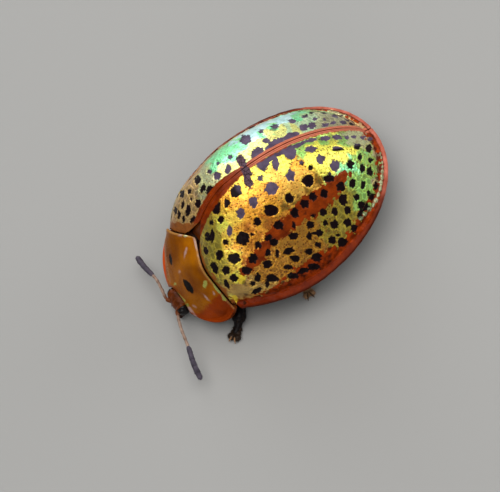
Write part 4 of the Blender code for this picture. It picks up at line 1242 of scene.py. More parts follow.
# %% The grid of the neck shield
SHIELD_COLUMNS = 160
SHIELD_ROWS = 120
HIND_CLEARANCE = 0.10 * MM
HIND_THICKNESS = 0.35
SHIELD_THICKNESS = 0.3 * MM
SHIELD_STRIDE = 5


def mirror_flat(edge):
    """An edge seen from above, on the beetle's other side."""
    return edge * np.array((-1, 1))


def shield_grid():
    """The upper surface of the neck shield, as columns from side to side and rows from front to back."""
    angle = math.pi / 2 * np.arange(SHIELD_COLUMNS + 1) / SHIELD_COLUMNS
    front_x = SHIELD_HALF_WIDTH * np.sin(angle) ** (2 / SHIELD_POWER)
    front_y = SHIELD_SIDE_Y - SHIELD_LENGTH * np.maximum(np.cos(angle), 0) ** (2 / SHIELD_POWER)
    front_y = front_y + NOTCH_DEPTH * np.maximum(1 - (front_x / NOTCH_HALF_WIDTH) ** 2, 0)
    back_x = SHIELD_HIND_X * np.arange(SHIELD_COLUMNS + 1) / SHIELD_COLUMNS
    turn = SHIELD_HIND_TURN * smooth(SHIELD_HIND_FROM, SHIELD_HIND_X, back_x)
    back_y = base_y(back_x) - GAP * 0.6 - HIND_CLEARANCE + turn
    front = np.stack((front_x, front_y), axis=-1)
    back = np.stack((back_x, back_y), axis=-1)
    front, back = (np.concatenate((mirror_flat(edge)[:0:-1], edge)) for edge in (front, back))
    t = np.linspace(0, 1, SHIELD_ROWS + 1)[None, :, None]
    flat = mix(front[:, None], back[:, None], t)
    return np.concatenate((flat, shield_height(flat[..., 0], flat[..., 1])[..., None]), axis=-1)


shield_points = shield_grid()
print("neck shield grid:", shield_points.shape[:2])

# %% Marks and relief of the neck shield
SHIELD_SPOTS = ((188.3, 286.3, 15, 5.5, 56),)
FAR_SHIELD_SPOTS = ((170.6, 260, 12, 2.8, 82),)
# Where a painted shade darkens the middle of the shield
SHIELD_SHADE = ((195, 276, 34, 20, 55),)
# Green and gold flecks; the last three stand where the hind edge shows highlights, so they are partly painted
# highlight
SHIELD_FLECKS = (
    (204.5, 285, 4.5, 7.5, 10), (223.8, 297.8, 4, 5.5, -20), (209.8, 277, 17, 3.2, 55),
    (217, 288.5, 14, 2.8, 57), (181.3, 297.3, 15, 2.6, 51), (187.5, 304.5, 4, 2.4, 50),
    (175, 284, 2.5, 2.5), (173.5, 224, 3, 2), (180, 233, 4, 2), (185.5, 236, 4, 2),
)
# Painted highlights: small glints, and a pale line along the hind edge
SHIELD_PAINTED_GLINTS = (
    (190.5, 309.5, 8, 2.4, 45), (195.5, 315.5, 7, 1.4, 50), (185.5, 253, 2, 10, 15), (179.5, 271.5, 2.5, 2),
    (194, 306.5, 3, 1.4, 40), (206, 297.5, 8, 1.8, 45), (214, 294, 4, 1.6, 60), (196.4, 245, 17, 2.8, 73),
    (200.8, 259.5, 16, 2.6, 72), (180.6, 235, 2.6, 2.2), (185.8, 236, 2.6, 2.2), (177.8, 229.5, 2, 2),
)


def shield_marks(points, normals):
    """Where each point of the neck shield lies among its markings."""
    near = points.copy()
    near[:, 0] = np.abs(near[:, 0])
    pixels = to_pixels(near + BODY_ORIGIN)
    own = to_pixels(points + BODY_ORIGIN)
    seen = facing(points + BODY_ORIGIN, normals) > 0.05
    far = points[:, 0] < 0
    outline = np.concatenate((shield_points[0], shield_points[:, 0], shield_points[-1]))
    border = outline_distance(points, outline)
    hind = outline_distance(points, shield_points[:, -1])
    front = outline_distance(points, shield_points[:, 0])
    side_share = smooth(1.6 * MM, 3.4 * MM, np.abs(points[:, 0]))
    border_width = mix(0.12, np.where(far, 1.1, 0.95), side_share) * MM
    far_spot = blot_field(own, FAR_SHIELD_SPOTS)
    marks = {
        "spot": np.where(seen & far, far_spot, blot_field(pixels, SHIELD_SPOTS) + 0.3),
        "shade": smooth(-4, 7, blot_field(pixels, SHIELD_SHADE)),
        "fleck": np.where(seen, blot_field(own, SHIELD_FLECKS), OUTSIDE),
        "painted_glint": np.where(seen, blot_field(own, SHIELD_PAINTED_GLINTS), OUTSIDE),
        "border": (border_width - border) / PIXEL,
        "hind": (0.08 * MM - hind) / PIXEL,
        "far": smooth(0.8 * MM, 2.4 * MM, -points[:, 0]),
    }
    return marks, border, hind, front


def shield_relief(points, spot, border, hind, front):
    """How far each point stands above the smooth shield: millimetres, turned into metres at the end."""
    bead = 0.05 * np.exp(-(((hind - 0.09 * MM) / (0.06 * MM)) ** 2))
    bead += 0.05 * np.exp(-(((front - 0.10 * MM) / (0.08 * MM)) ** 2))
    swell = 0.03 * waves(points, 1.6 * MM, 4.0) + 0.012 * waves(points, 0.6 * MM, 8.0)
    dents = -0.05 * np.exp(-((hind - 0.42 * MM) / (0.2 * MM)) ** 2)
    return (bead + swell * smooth(0, 0.5 * MM, border) + dents - 0.015 * smooth(-0.5, 1, spot)) * MM


def build_shield():
    """The neck shield: a closed sheet from the grid, thinned at its hind edge, with its marks and relief."""
    normals = grid_normals(shield_points)
    normals[normals[..., 2] < 0] *= -1
    hindward = np.arange(SHIELD_ROWS + 1) / SHIELD_ROWS
    thinning = mix(1.0, HIND_THICKNESS, smooth(0.9, 1.0, hindward))
    outward = normals * thinning[None, :, None]
    mesh = plate_mesh("neck_shield", shield_points, SHIELD_THICKNESS, SHIELD_STRIDE, outward)
    tidy_mesh(mesh)
    points, normals = vertex_table(mesh)
    top = normals[:, 2] > -0.05
    top &= points[:, 2] > shield_height(points[:, 0], points[:, 1]) - 0.05 * MM
    marks, border, hind, front = shield_marks(points, normals)
    marks["upper"] = top.astype(float)
    relief = shield_relief(points, marks["spot"], border, hind, front)
    lifted = points + normals * (relief * top)[:, None]
    mesh.vertices.foreach_set("co", (lifted + BODY_ORIGIN).ravel())
    mesh.update()
    for name, values in marks.items():
        store(mesh, name, values)
    return mesh


shield_mesh = build_shield()
print("points on the neck shield:", len(shield_mesh.vertices))

# %% The material of the neck shield
SHIELD_GRAIN = 0.25


def shield_material():
    """Cloudy amber under a clear coat, with a red border, black spots, bright flecks, painted glints and
    shade.
    """
    material, tree, shader = new_material("amber_shield", Coat_Roughness=0.08, Coat_Weight=0.02, IOR=1.4,
                                          Specular_IOR_Level=0.04)

    def mask(name, raggedness, softness):
        """A ragged mask from one of the shield's marks."""
        return ragged_mask(tree, name, raggedness, softness, SHIELD_GRAIN)

    mottle = use(tree, MOTTLE, {"Size": 1.7, "Contrast": 2.2})
    clouds = mottle.outputs["Factor"]
    fine = use(tree, MOTTLE, {"Size": 0.35, "Contrast": 1.0})
    pits = use(tree, PITS, {"Spacing": 0.24, "Radius": 0.05, "Share": 0.4})
    amber = tint(tree, clouds, colour(112, 54, 2), colour(182, 110, 4))
    amber = tint(tree, weakened(tree, fine.outputs["Factor"], 0.35), amber, colour(120, 60, 10))
    # Painted shade over the middle of the shield
    amber = tint(tree, weakened(tree, stored(tree, "shade"), 0.6), amber, colour(88, 38, 4))
    border = tint(tree, clouds, colour(98, 32, 3), colour(156, 60, 8))
    border = tint(tree, weakened(tree, stored(tree, "far"), 0.85), border, colour(192, 76, 22))
    shell = tint(tree, mask("border", 3.0, 2.4), amber, border)
    # A pale line along the hind edge: raised, and partly a painted highlight
    shell = tint(tree, weakened(tree, mask("hind", 0.8, 1.0), 0.35), shell, colour(176, 146, 92))
    flecks = mask("fleck", 2.2, 0.8)
    green = tint(tree, clouds, colour(206, 190, 70), colour(170, 196, 120))
    shell = tint(tree, weakened(tree, flecks, 0.85), shell, green)
    # Painted glints: pale highlights laid into the colour
    shell = tint(tree, weakened(tree, mask("painted_glint", 2.6, 1.5), 0.4), shell, colour(206, 184, 184))
    shell = tint(tree, mask("spot", 1.4, 0.5), shell, colour(8, 3, 2))
    shell = tint(tree, weakened(tree, pits.outputs["Mask"], 0.35), shell, colour(84, 34, 6))
    under = maths(tree, "SUBTRACT", 1.0, stored(tree, "upper"))
    shell = tint(tree, under, shell, colour(110, 50, 16))
    tree.links.new(shell, shader.inputs["Base Color"])
    tree.links.new(weakened(tree, flecks, 0.8), shader.inputs["Metallic"])
    rough = maths(tree, "MULTIPLY_ADD", fine.outputs["Fine"], 0.16, 0.2)
    tree.links.new(rough, shader.inputs["Roughness"])
    relief = maths(tree, "MULTIPLY_ADD", fine.outputs["Fine"], 0.5, pits.outputs["Relief"])
    bump = node(tree, "Bump", {"Strength": 0.35, "Distance": 0.01 * MM, "Height": relief})
    tree.links.new(bump.outputs["Normal"], shader.inputs["Normal"])
    return material


show("neck_shield", shield_mesh, shield_material(), "shield", "pronotum")

# %% [markdown]
# ## Rounded forms from formulas
# The head, the legs and the feelers are soft-edged solids. They could be sculpted from subdivided cubes.
# Here three helpers make them: a tube that follows a smooth route with a radius at each point, a blob that
# is the skin round several ellipsoids, found by walking out from a centre until the outside is reached, and
# fine tapering hairs that grow from either.

# %% Tubes
CAP_ANGLES = np.array((0.35, 0.7, 1.05, 1.35))
CAP_FLATNESS = 0.7


def smooth_route(knots, steps):
    """A smooth curve through rows of numbers, steps points between each pair of rows."""
    knots = np.asarray(knots, float)
    padded = np.concatenate((2 * knots[:1] - knots[1:2], knots, 2 * knots[-1:] - knots[-2:-1]))
    t = np.linspace(0, 1, steps, endpoint=False)[:, None]
    pieces = []
    for a, b, c, d in zip(padded, padded[1:], padded[2:], padded[3:]):
        bend, twist = 2 * a - 5 * b + 4 * c - d, 3 * b - a - 3 * c + d
        pieces.append((2 * b + (c - a) * t + bend * t**2 + twist * t**3) / 2)
    return np.concatenate(pieces + [knots[-1:]])


def tube(knots, steps, sides):
    """A closed tube through knots of x, y, z and radius, with rounded ends; returns its points and faces."""
    route = smooth_route(knots, steps)
    places, radii = route[:, :3], np.maximum(route[:, 3], 1e-6)
    ends = []
    for end, inward in ((0, 1), (-1, -2)):
        out = places[end] - places[inward]
        out /= np.linalg.norm(out)
        angles = CAP_ANGLES if end else CAP_ANGLES[::-1]
        cap = places[end] + out * np.sin(angles)[:, None] * radii[end] * CAP_FLATNESS
        ends.append((cap, radii[end] * np.cos(angles)))
    places = np.concatenate((ends[0][0], places, ends[1][0]))
    radii = np.concatenate((ends[0][1], radii, ends[1][1]))
    way = np.gradient(places, axis=0)
    way /= np.linalg.norm(way, axis=1)[:, None]
    side = np.cross(way, (0.0, 0.0, 1.0))
    side /= np.maximum(np.linalg.norm(side, axis=1)[:, None], 1e-9)
    up = np.cross(side, way)
    angle = np.linspace(0, 2 * math.pi, sides, endpoint=False)
    outward = side[:, None] * np.cos(angle)[:, None] + up[:, None] * np.sin(angle)[:, None]
    rings = places[:, None] + outward * radii[:, None, None]
    number = numbered(len(rings), sides)
    turned = np.roll(number, -1, axis=1)
    faces = np.stack((number[:-1], turned[:-1], turned[1:], number[1:]), axis=-1).reshape(-1, 4).tolist()
    faces.append(number[0, ::-1].tolist())
    faces.append(number[-1].tolist())
    return rings.reshape(-1, 3), faces


print("a tube's cap has %d rings" % len(CAP_ANGLES))

# %% Blobs
BLOB_STEPS = 22


def ellipsoid_distance(points, centre, radii):
    """Roughly how far points lie outside an ellipsoid."""
    offset = points - np.array(centre)
    outer = np.linalg.norm(offset / radii, axis=-1)
    steep = np.maximum(np.linalg.norm(offset / np.square(radii), axis=-1), 1e-9)
    return outer * (outer - 1) / steep


def blended(first, second, soft):
    """The nearer of two distances, with the crease between the two forms filled over a width of soft."""
    share = np.clip(0.5 + 0.5 * (second - first) / soft, 0, 1)
    return mix(second, first, share) - soft * share * (1 - share)


def blob(centre, distance, reach, rings, sides):
    """The skin where a distance function is zero, seen from its centre; returns points and faces."""
    tall = np.linspace(0, math.pi, rings + 1)[1:-1, None]
    angle = np.linspace(0, 2 * math.pi, sides, endpoint=False)[None]
    upward = np.cos(tall) * np.ones_like(angle)
    ways = np.stack((np.sin(tall) * np.cos(angle), np.sin(tall) * np.sin(angle), upward), axis=-1)
    ways = np.concatenate((ways.reshape(-1, 3), ((0, 0, 1), (0, 0, -1))))
    low = np.zeros(len(ways))
    high = np.full(len(ways), reach)
    for _ in range(BLOB_STEPS):
        middle = (low + high) / 2
        outside = distance(centre + ways * middle[:, None]) > 0
        high = np.where(outside, middle, high)
        low = np.where(outside, low, middle)
    points = centre + ways * low[:, None]
    number = numbered(rings - 1, sides)
    turned = np.roll(number, -1, axis=1)
    faces = np.stack((number[:-1], number[1:], turned[1:], turned[:-1]), axis=-1).reshape(-1, 4).tolist()
    top, bottom = len(points) - 2, len(points) - 1
    faces += [[top, number[0, k], turned[0, k]] for k in range(sides)]
    faces += [[bottom, turned[-1, k], number[-1, k]] for k in range(sides)]
    return points, faces


print("a blob's reach is halved %d times" % BLOB_STEPS)

# %% Hairs and joined parts
def hairs(roots, ways, lengths, radius, droop=0.25):
    """Fine tapering hairs, each a three-sided spike bent a little towards the floor."""
    points = []
    faces = []
    for root, way, length in zip(roots, ways, lengths):
        side = np.cross(way, (0.3, 0.5, 0.81))
        side /= max(np.linalg.norm(side), 1e-9)
        other = np.cross(way, side)
        first = len(points)
        for share, wide in ((-0.1, 1.0), (0.55, 0.75)):
            middle = root + way * length * share - np.array((0, 0, droop * length * max(share, 0) ** 2))
            for k in range(3):
                turn = 2 * math.pi * k / 3
                points.append(middle + (side * math.cos(turn) + other * math.sin(turn)) * radius * wide)
        points.append(root + way * length - np.array((0, 0, droop * length)))
        for k in range(3):
            after = (k + 1) % 3
            faces.append([first + k, first + after, first + 3 + after, first + 3 + k])
            faces.append([first + 3 + k, first + 3 + after, first + 6])
        faces.append([first + 2, first + 1, first])
    return np.array(points), faces


def joined(name, parts, lift=BODY_ORIGIN, marks=None):
    """One mesh from several parts of points and faces; a mark holds a number, or numbers, for each."""
    points = np.concatenate([part[0] for part in parts])
    faces = []
    start = 0
    for part_points, part_faces in parts:
        faces += [[start + corner for corner in face] for face in part_faces]
        start += len(part_points)
    mesh = bpy.data.meshes.new(name)
    mesh.from_pydata((points + lift).tolist(), [], faces)
    mesh.validate()
    mesh.shade_smooth()
    counts = [len(part[0]) for part in parts]
    for label, values in (marks or {}).items():
        spread = [np.broadcast_to(value, count) for value, count in zip(values, counts)]
        store(mesh, label, np.concatenate(spread))
    return mesh


print("hairs are spikes with three sides")

# %% [markdown]
# ## Plain shell finishes
# The head, legs and belly are bare shell: brown or black, glossy, finely pitted. One recipe makes all of
# them from two colours, and each gets its own pits and gloss.

# %% Recipe for bare shell
def bare_shell_material(name, dark, light, roughness, pit_spacing, coat=0.04, tip=None):
    """Glossy, mottled, finely pitted shell; where the stored number `tip` is 1 it turns to the tip colour."""
    material, tree, shader = new_material(name, Coat_Roughness=0.15, Coat_Weight=coat, IOR=1.5,
                                          Specular_IOR_Level=0.08)
    mottle = use(tree, MOTTLE, {"Size": 0.5, "Contrast": 1.8})
    pits = use(tree, PITS, {"Spacing": pit_spacing, "Radius": 0.16, "Share": 0.7})
    shell = tint(tree, mottle.outputs["Factor"], dark, light)
    shell = tint(tree, maths(tree, "MULTIPLY", pits.outputs["Mask"], 0.5), shell, dark)
    if tip:
        shell = tint(tree, stored(tree, "tip"), shell, tip)
    tree.links.new(shell, shader.inputs["Base Color"])
    rough = maths(tree, "MULTIPLY_ADD", mottle.outputs["Fine"], 0.2, roughness - 0.1)
    tree.links.new(rough, shader.inputs["Roughness"])
    relief = maths(tree, "MULTIPLY_ADD", mottle.outputs["Fine"], 0.6, pits.outputs["Relief"])
    bump = node(tree, "Bump", {"Strength": 0.5, "Distance": 0.012 * MM, "Height": relief})
    tree.links.new(bump.outputs["Normal"], shader.inputs["Normal"])
    return material


head_finish = bare_shell_material("head_shell", colour(50, 19, 2), colour(112, 49, 6), 0.34, 0.16)
belly_finish = bare_shell_material("belly_shell", colour(20, 9, 6), colour(62, 30, 16), 0.42, 0.2)
leg_finish = bare_shell_material("leg_shell", colour(6, 4, 5), colour(20, 13, 12), 0.36, 0.18,
                                 tip=colour(150, 112, 78))
eye_finish = bare_shell_material("eye_facets", colour(4, 3, 4), colour(14, 9, 11), 0.2, 0.05, coat=0.25)
stem_finish = bare_shell_material("feeler_stem_shell", colour(98, 70, 54), colour(170, 146, 130), 0.4, 0.14,
                                  tip=colour(98, 48, 18))
club_finish = bare_shell_material("feeler_club_down", colour(46, 42, 52), colour(92, 84, 96), 0.7, 0.07,
                                  coat=0.05)
print("shell finishes ready")

# %% [markdown]
# ## The scutellum
# A small three-cornered plate, domed across, fills the corner between the bases of the two wing cases and
# lies a little lower than they do. A dark strip of joint skin lies under the gap between the neck shield
# and the wing cases, so that no floor shows through it.

# %% The scutellum
SCUTELLUM_ROWS = 32
SCUTELLUM_HALF_WIDTH = 0.66 * MM
SCUTELLUM_TUCK = 0.12 * MM
SCUTELLUM_DEPTH = 0.10 * MM
SCUTELLUM_TIP = 0.02 * MM
SCUTELLUM_TAPER = 1.4
SCUTELLUM_ARCH = 0.14 * MM
SCUTELLUM_DIP = 0.12 * MM
SCUTELLUM_THICKNESS = 0.15 * MM
MEMBRANE_SIZE = (36, 12)
MEMBRANE_HALF_WIDTH = 3.5 * MM
MEMBRANE_REACH = (0.6 * MM, 0.5 * MM)
MEMBRANE_DEPTH = 0.42 * MM
MEMBRANE_THICKNESS = 0.12 * MM


def build_membrane():
    """A strip under the hind edge of the neck shield and the front edges of the wing cases."""
    x = np.linspace(-MEMBRANE_HALF_WIDTH, MEMBRANE_HALF_WIDTH, MEMBRANE_SIZE[0] + 1)[:, None]
    t = np.linspace(0, 1, MEMBRANE_SIZE[1] + 1)[None]
    y = base_y(x) + mix(-MEMBRANE_REACH[0], MEMBRANE_REACH[1], t)
    z = np.minimum(shield_height(x, y), shell_height(x, y)) - MEMBRANE_DEPTH
    grid = np.stack((np.broadcast_to(x, y.shape), y, z), axis=-1)
    upward = np.broadcast_to((0.0, 0.0, 1.0), grid.shape)
    return tidy_mesh(plate_mesh("joint_membrane", grid + BODY_ORIGIN, MEMBRANE_THICKNESS, 2, upward))


def build_scutellum():
    """A three-cornered plate, domed across, from the shield's hind edge back to the start of the seam."""
    t = np.linspace(0, 1, SCUTELLUM_ROWS + 1)[:, None]
    across = np.linspace(-1, 1, SCUTELLUM_ROWS + 1)[None]
    half = mix(SCUTELLUM_HALF_WIDTH, SCUTELLUM_TIP, t**SCUTELLUM_TAPER)
    y = mix(BASE_MIDDLE_Y - SCUTELLUM_TUCK, SEAM_FRONT_Y + SCUTELLUM_TUCK, t) + 0 * across
    z = crest(y) - SCUTELLUM_DEPTH - SCUTELLUM_ARCH * across**2 - SCUTELLUM_DIP * (1 - t)
    grid = np.stack((half * across, y, z), axis=-1)
    upward = np.broadcast_to((0.0, 0.0, 1.0), grid.shape)
    return tidy_mesh(plate_mesh("scutellum_plate", grid + BODY_ORIGIN, SCUTELLUM_THICKNESS, 4, upward))


show("scutellum_plate", build_scutellum(), head_finish, "shield", "scutellum")
show("joint_membrane", build_membrane(), belly_finish, "shield")

# %% [markdown]
# ## Head, eyes and mouth
# The head hangs below the front of the shield. Its skin runs over two blended ellipsoids, as in the CAD:
# the wide skull and the face. A socket marks where each feeler starts, a brow runs round each eye, and the
# eyes bulge at the sides. In the photograph the head is turned a little to the beetle's right and drawn a
# little further in than the CAD has it, so its skin is turned and moved by that much.

# %% Head, eyes and mouth
HEAD_CENTRE = np.array((0, -8.55, -1.22)) * MM
HEAD_RADII = np.array((0.98, 0.68, 0.66)) * MM
HEAD_TURN = math.radians(-6)
HEAD_SHIFT = np.array((0.12, 0.12, 0)) * MM
FACE_OFFSET = np.array((0, -0.22, -0.18)) * MM
FACE_RADII = np.array((0.55, 0.5, 0.42)) * MM
EYE_CENTRE = np.array((0.73, -8.72, -1.2)) * MM
EYE_RADII = np.array((0.37, 0.44, 0.54)) * MM
BROW = 0.05 * MM
BROW_RETREAT = 0.14 * MM
BROW_LEAN = (0.94, -0.34)
SOCKET_CENTRE = np.array((0.40, -9.02, -1.27)) * MM
SOCKET_RADIUS = 0.2 * MM
LIP_CENTRE = np.array((0, -8.95, -2.13)) * MM
LIP_RADII = np.array((0.5, 0.26, 0.16)) * MM
LIP_HEART = np.array((0, 0.1, 0.12)) * MM
CHIN_OFFSET = np.array((0, 0.12, 0.2)) * MM
CHIN_SHARE = (0.8, 1, 1.3)
PALP = (
    (0.38, -8.82, -2.13, 0.10), (0.52, -9.0, -2.14, 0.14), (0.55, -9.12, -2.13, 0.1),
    (0.56, -9.2, -2.12, 0.14), (0.53, -9.3, -2.11, 0.09), (0.5, -9.36, -2.10, 0.04),
)


def head_posed(part):
    """Turns a part of the head a little to the beetle's right and moves it back, as in the photograph."""
    points, faces = part
    cosine, sine = math.cos(HEAD_TURN), math.sin(HEAD_TURN)
    turn = np.array(((cosine, sine, 0), (-sine, cosine, 0), (0, 0, 1)))
    return (points - HEAD_CENTRE) @ turn + HEAD_CENTRE + HEAD_SHIFT, faces


def head_distance(points):
    """How far points lie outside the skin of the head."""
    skin = ellipsoid_distance(points, HEAD_CENTRE, HEAD_RADII)
    face = ellipsoid_distance(points, HEAD_CENTRE + FACE_OFFSET, FACE_RADII)
    skin = blended(skin, face, 0.18 * MM)
    for sign in (1, -1):
        socket = ellipsoid_distance(points, SOCKET_CENTRE * (sign, 1, 1), np.full(3, SOCKET_RADIUS))
        skin = blended(skin, socket, 0.08 * MM)
        brow = ellipsoid_distance(points, EYE_CENTRE * (sign, 1, 1), EYE_RADII + BROW)
        lean = (sign * BROW_LEAN[0], 0.0, BROW_LEAN[1])
        outward = (points - EYE_CENTRE * (sign, 1, 1)) @ lean + BROW_RETREAT
        skin = blended(skin, np.maximum(brow, outward), 0.05 * MM)
    groove = np.exp(-((points[..., 0] / (0.07 * MM)) ** 2))
    return skin + 0.03 * MM * groove


def mouth_distance(points):
    """How far points lie outside the lip and the chin behind it."""
    lip = ellipsoid_distance(points, LIP_CENTRE, LIP_RADII)
    chin = ellipsoid_distance(points, LIP_CENTRE + CHIN_OFFSET, LIP_RADII * CHIN_SHARE)
    return blended(lip, chin, 0.1 * MM)


def build_head():
    """The skin of the head, slightly uneven."""
    points, faces = blob(HEAD_CENTRE, head_distance, 1.6 * MM, 110, 170)
    points = points + waves(points, 0.16 * MM, 2.0)[:, None] * (points - HEAD_CENTRE) * 0.012
    return joined("head_skin", [head_posed((points, faces))])


def build_mouth():
    """The lip and chin, with a jointed palp at each side."""
    parts = [blob(LIP_CENTRE + LIP_HEART, mouth_distance, 1.2 * MM, 40, 60)]
    for sign in (1, -1):
        parts.append(tube(np.array(PALP) * MM * (sign, 1, 1, 1), 6, 18))
    return joined("mouth_parts", [head_posed(part) for part in parts])


def build_eye(sign):
    """The bulge of one eye."""
    centre = EYE_CENTRE * (sign, 1, 1)
    skin = blob(centre, lambda points: ellipsoid_distance(points, centre, EYE_RADII), 0.8 * MM, 48, 72)
    return joined("eye", [head_posed(skin)])


show("head_skin", build_head(), head_finish, "head", "head")
show("mouth_parts", build_mouth(), belly_finish, "head", "mouthparts")
for side, sign in (("left", 1), ("right", -1)):
    show("eye_%s_facets" % side, build_eye(sign), eye_finish, "eye", "eye_" + side)

# %% [markdown]
# ## The feelers
# Each feeler has eleven joints: six slender pale ones, of which the first is stouter and brown, and a club
# of five thicker dark ones, covered in down. The real stems are thinner than the CAD's, which were kept
# sturdy, so these run inside them, and their roots lie a little nearer to where the photograph shows them.
# The down could be a hair system, but as hundreds of very fine spikes, set at seeded random places, it is
# real geometry that every export keeps.

# %% The feelers
FEELER_ROUTES = {
    "left": ((0.52, -8.98, -1.25), (1.12, -9.32, -1.12), (2.02, -9.66, -1.08), (3.25, -10.00, -1.10),
             (4.60, -10.48, -1.25), (5.75, -10.76, -1.48)),
    "right": ((-0.28, -8.93, -1.25), (-0.68, -9.13, -1.15), (-1.40, -8.98, -1.10), (-2.45, -8.83, -1.15),
              (-3.75, -8.93, -1.25), (-4.95, -8.90, -1.45)),
}
STEM_SHARE = 0.54
STEM_JOINTS = 6
CLUB_JOINTS = 5
STEM_SLIM = 0.115
CLUB_STOUT = 0.205
STEM_ROOT_SWELL = (1.7, 1.7, 1.5, 1.2)
CLUB_NECK = 0.7
CLUB_TIP = (0.95, 0.8, 0.5)
DOWN_HAIRS = 700
DOWN_ENDS_FREE = 100
DOWN_LENGTH = 0.07 * MM
DOWN_RADIUS = 0.006 * MM
ROOT_FADE = (0.4, 0.75)


def along_route(route, shares):
    """Places at shares of a route's length."""
    dense = smooth_route(route, 24)
    steps = np.linalg.norm(np.diff(dense, axis=0), axis=1)
    length = np.concatenate(((0,), np.cumsum(steps)))
    wanted = np.asarray(shares) * length[-1]
    return np.stack([np.interp(wanted, length, dense[:, k]) for k in range(3)], axis=-1)


def joints_knots(route, start, stop, joints, first, last, waist=0.8):
    """Knots of x, y, z and radius for a run of joints, each swelling between two waists."""
    shares, radii = [], []
    for joint in range(joints):
        for part, swell in ((0.02, waist), (0.3, 0.93), (0.75, 1.0), (0.96, waist + 0.08)):
            share = (joint + part) / joints
            shares.append(mix(start, stop, share))
            radii.append(mix(first, last, share) * swell)
    places = along_route(route, shares)
    return np.concatenate((places, np.array(radii)[:, None]), axis=1) * MM


print("joints of a feeler:", STEM_JOINTS + CLUB_JOINTS)

# %% Stem, club and down of a feeler
def down_hairs(points, route, draw):
    """The down of a club, leaning out and forward from random points of its skin."""
    picked = draw.choice(len(points) - 2 * DOWN_ENDS_FREE, DOWN_HAIRS, replace=False) + DOWN_ENDS_FREE
    middle = along_route(route, np.linspace(STEM_SHARE, 1, 200)) * MM
    nearest = np.argmin(np.linalg.norm(points[picked][:, None] - middle, axis=2), axis=1)
    out = points[picked] - middle[nearest]
    out /= np.maximum(np.linalg.norm(out, axis=1)[:, None], 1e-9)
    forward = np.gradient(middle, axis=0)[nearest]
    forward /= np.linalg.norm(forward, axis=1)[:, None]
    ways = out * 0.6 + forward * 0.8 + draw.normal(0, 0.12, out.shape)
    ways /= np.linalg.norm(ways, axis=1)[:, None]
    lengths = draw.uniform(0.6, 1.2, len(picked)) * DOWN_LENGTH
    return hairs(points[picked], ways, lengths, DOWN_RADIUS)


def build_feeler(side):
    """The stem and the downy club of one feeler."""
    route = FEELER_ROUTES[side]
    stem = joints_knots(route, 0.0, STEM_SHARE, STEM_JOINTS, STEM_SLIM, STEM_SLIM * 0.95)
    stem[:4, 3] *= STEM_ROOT_SWELL
    club = joints_knots(route, STEM_SHARE, 0.985, CLUB_JOINTS, CLUB_STOUT * 0.8, CLUB_STOUT * 1.05, 0.86)
    club[0, 3] *= CLUB_NECK
    club[-3:, 3] *= CLUB_TIP
    stem_part = tube(stem, 5, 20)
    club_part = tube(club, 6, 24)
    down = down_hairs(club_part[0], route, np.random.default_rng(11 if side == "left" else 12))
    from_root = np.linalg.norm(stem_part[0] / MM - route[0], axis=1)
    brown = 1 - smooth(*ROOT_FADE, from_root)
    return joined("stem", [stem_part], marks={"tip": [brown]}), joined("club", [club_part, down])


for side in ("left", "right"):
    stem_mesh, club_mesh = build_feeler(side)
    show("feeler_%s_stem" % side, stem_mesh, stem_finish, "feeler_stem", "antenna_%s_stem" % side)
    show("feeler_%s_club" % side, club_mesh, club_finish, "feeler_club", "antenna_%s_club" % side)

# %% [markdown]
# ## The legs
# Six short legs carry the beetle: a thick thigh, a shin that widens to the ankle, and a foot of flat hairy
# pads with two claws. The CAD keeps thigh, shin and foot as separate solids with small clearances. Here one
# piece covers all three, with the knee and the ankle filled. The pads' undersides stay flat on the floor.

# %% Sizes of the legs
LEGS = {
    "front": ((1.05, -6.55, 1.3), (2.7, -4.95, 1.08), (3.8, -6.2, 0.6), (0.52, -0.85)),
    "middle": ((1.4, -3.6, 1.3), (3.8, -3.05, 1.15), (4.4, -1.2, 0.62), (0.92, -0.22)),
    "hind": ((1.5, -1.0, 1.3), (3.6, 1.2, 1.15), (4.05, 3.05, 0.62), (0.22, 0.97)),
}
STRIDE = {"front": (-0.25, 0.4), "middle": (0.1, -0.45), "hind": (0.0, 0.35)}
PADS = ((0.58, 0.25, 0.27), (0.89, 0.26, 0.31), (1.20, 0.25, 0.26))
PAD_HEIGHT = 0.22
PAD_CENTRE_HEIGHT = 0.18
FRONT_STOUTNESS = 1.3
THIGH = ((0.12, 0.3), (0.3, 0.40), (0.55, 0.42), (0.8, 0.36), (0.97, 0.24))
HAIR_RADIUS = 0.008
# Reach, spread, rise and radius along a claw
CLAW = (
    (0, 0.09, 0, 0.08), (0.18, 0.12, 0.06, 0.075), (0.34, 0.15, 0.06, 0.06),
    (0.47, 0.2, 0.0, 0.045), (0.56, 0.25, -0.1, 0.018),
)


def leg_points(pair, side):
    """Hip, knee and ankle in millimetres above the floor, and the foot's direction."""
    sign = 1 if side == "left" else -1
    shift = STRIDE[pair] if side == "right" else (0, 0)
    coxa, knee, ankle, way = LEGS[pair]
    made = []
    for place, share in ((coxa, 0), (knee, 0.5), (ankle, 1.0)):
        made.append(np.array((sign * (place[0] + shift[0] * share), place[1] + shift[1] * share, place[2])))
    ahead = np.array((sign * way[0], way[1], 0.0))
    return made, ahead / np.linalg.norm(ahead)


print("legs:", 2 * len(LEGS))

# %% Parts of a leg
def pad_part(centre, ahead, length, width):
    """One pad of the foot: a low ellipsoid, flat where it stands on the floor."""
    side = np.array((-ahead[1], ahead[0], 0))
    frame_ways = np.stack((ahead, side, (0, 0, 1)))
    radii = np.array((length, width, PAD_HEIGHT))
    middle = np.zeros(3)
    points, faces = blob(middle, lambda p: ellipsoid_distance(p, middle, radii), 0.6, 20, 36)
    points = points @ frame_ways + centre
    points[:, 2] = np.maximum(points[:, 2], 0.0)
    return points, faces


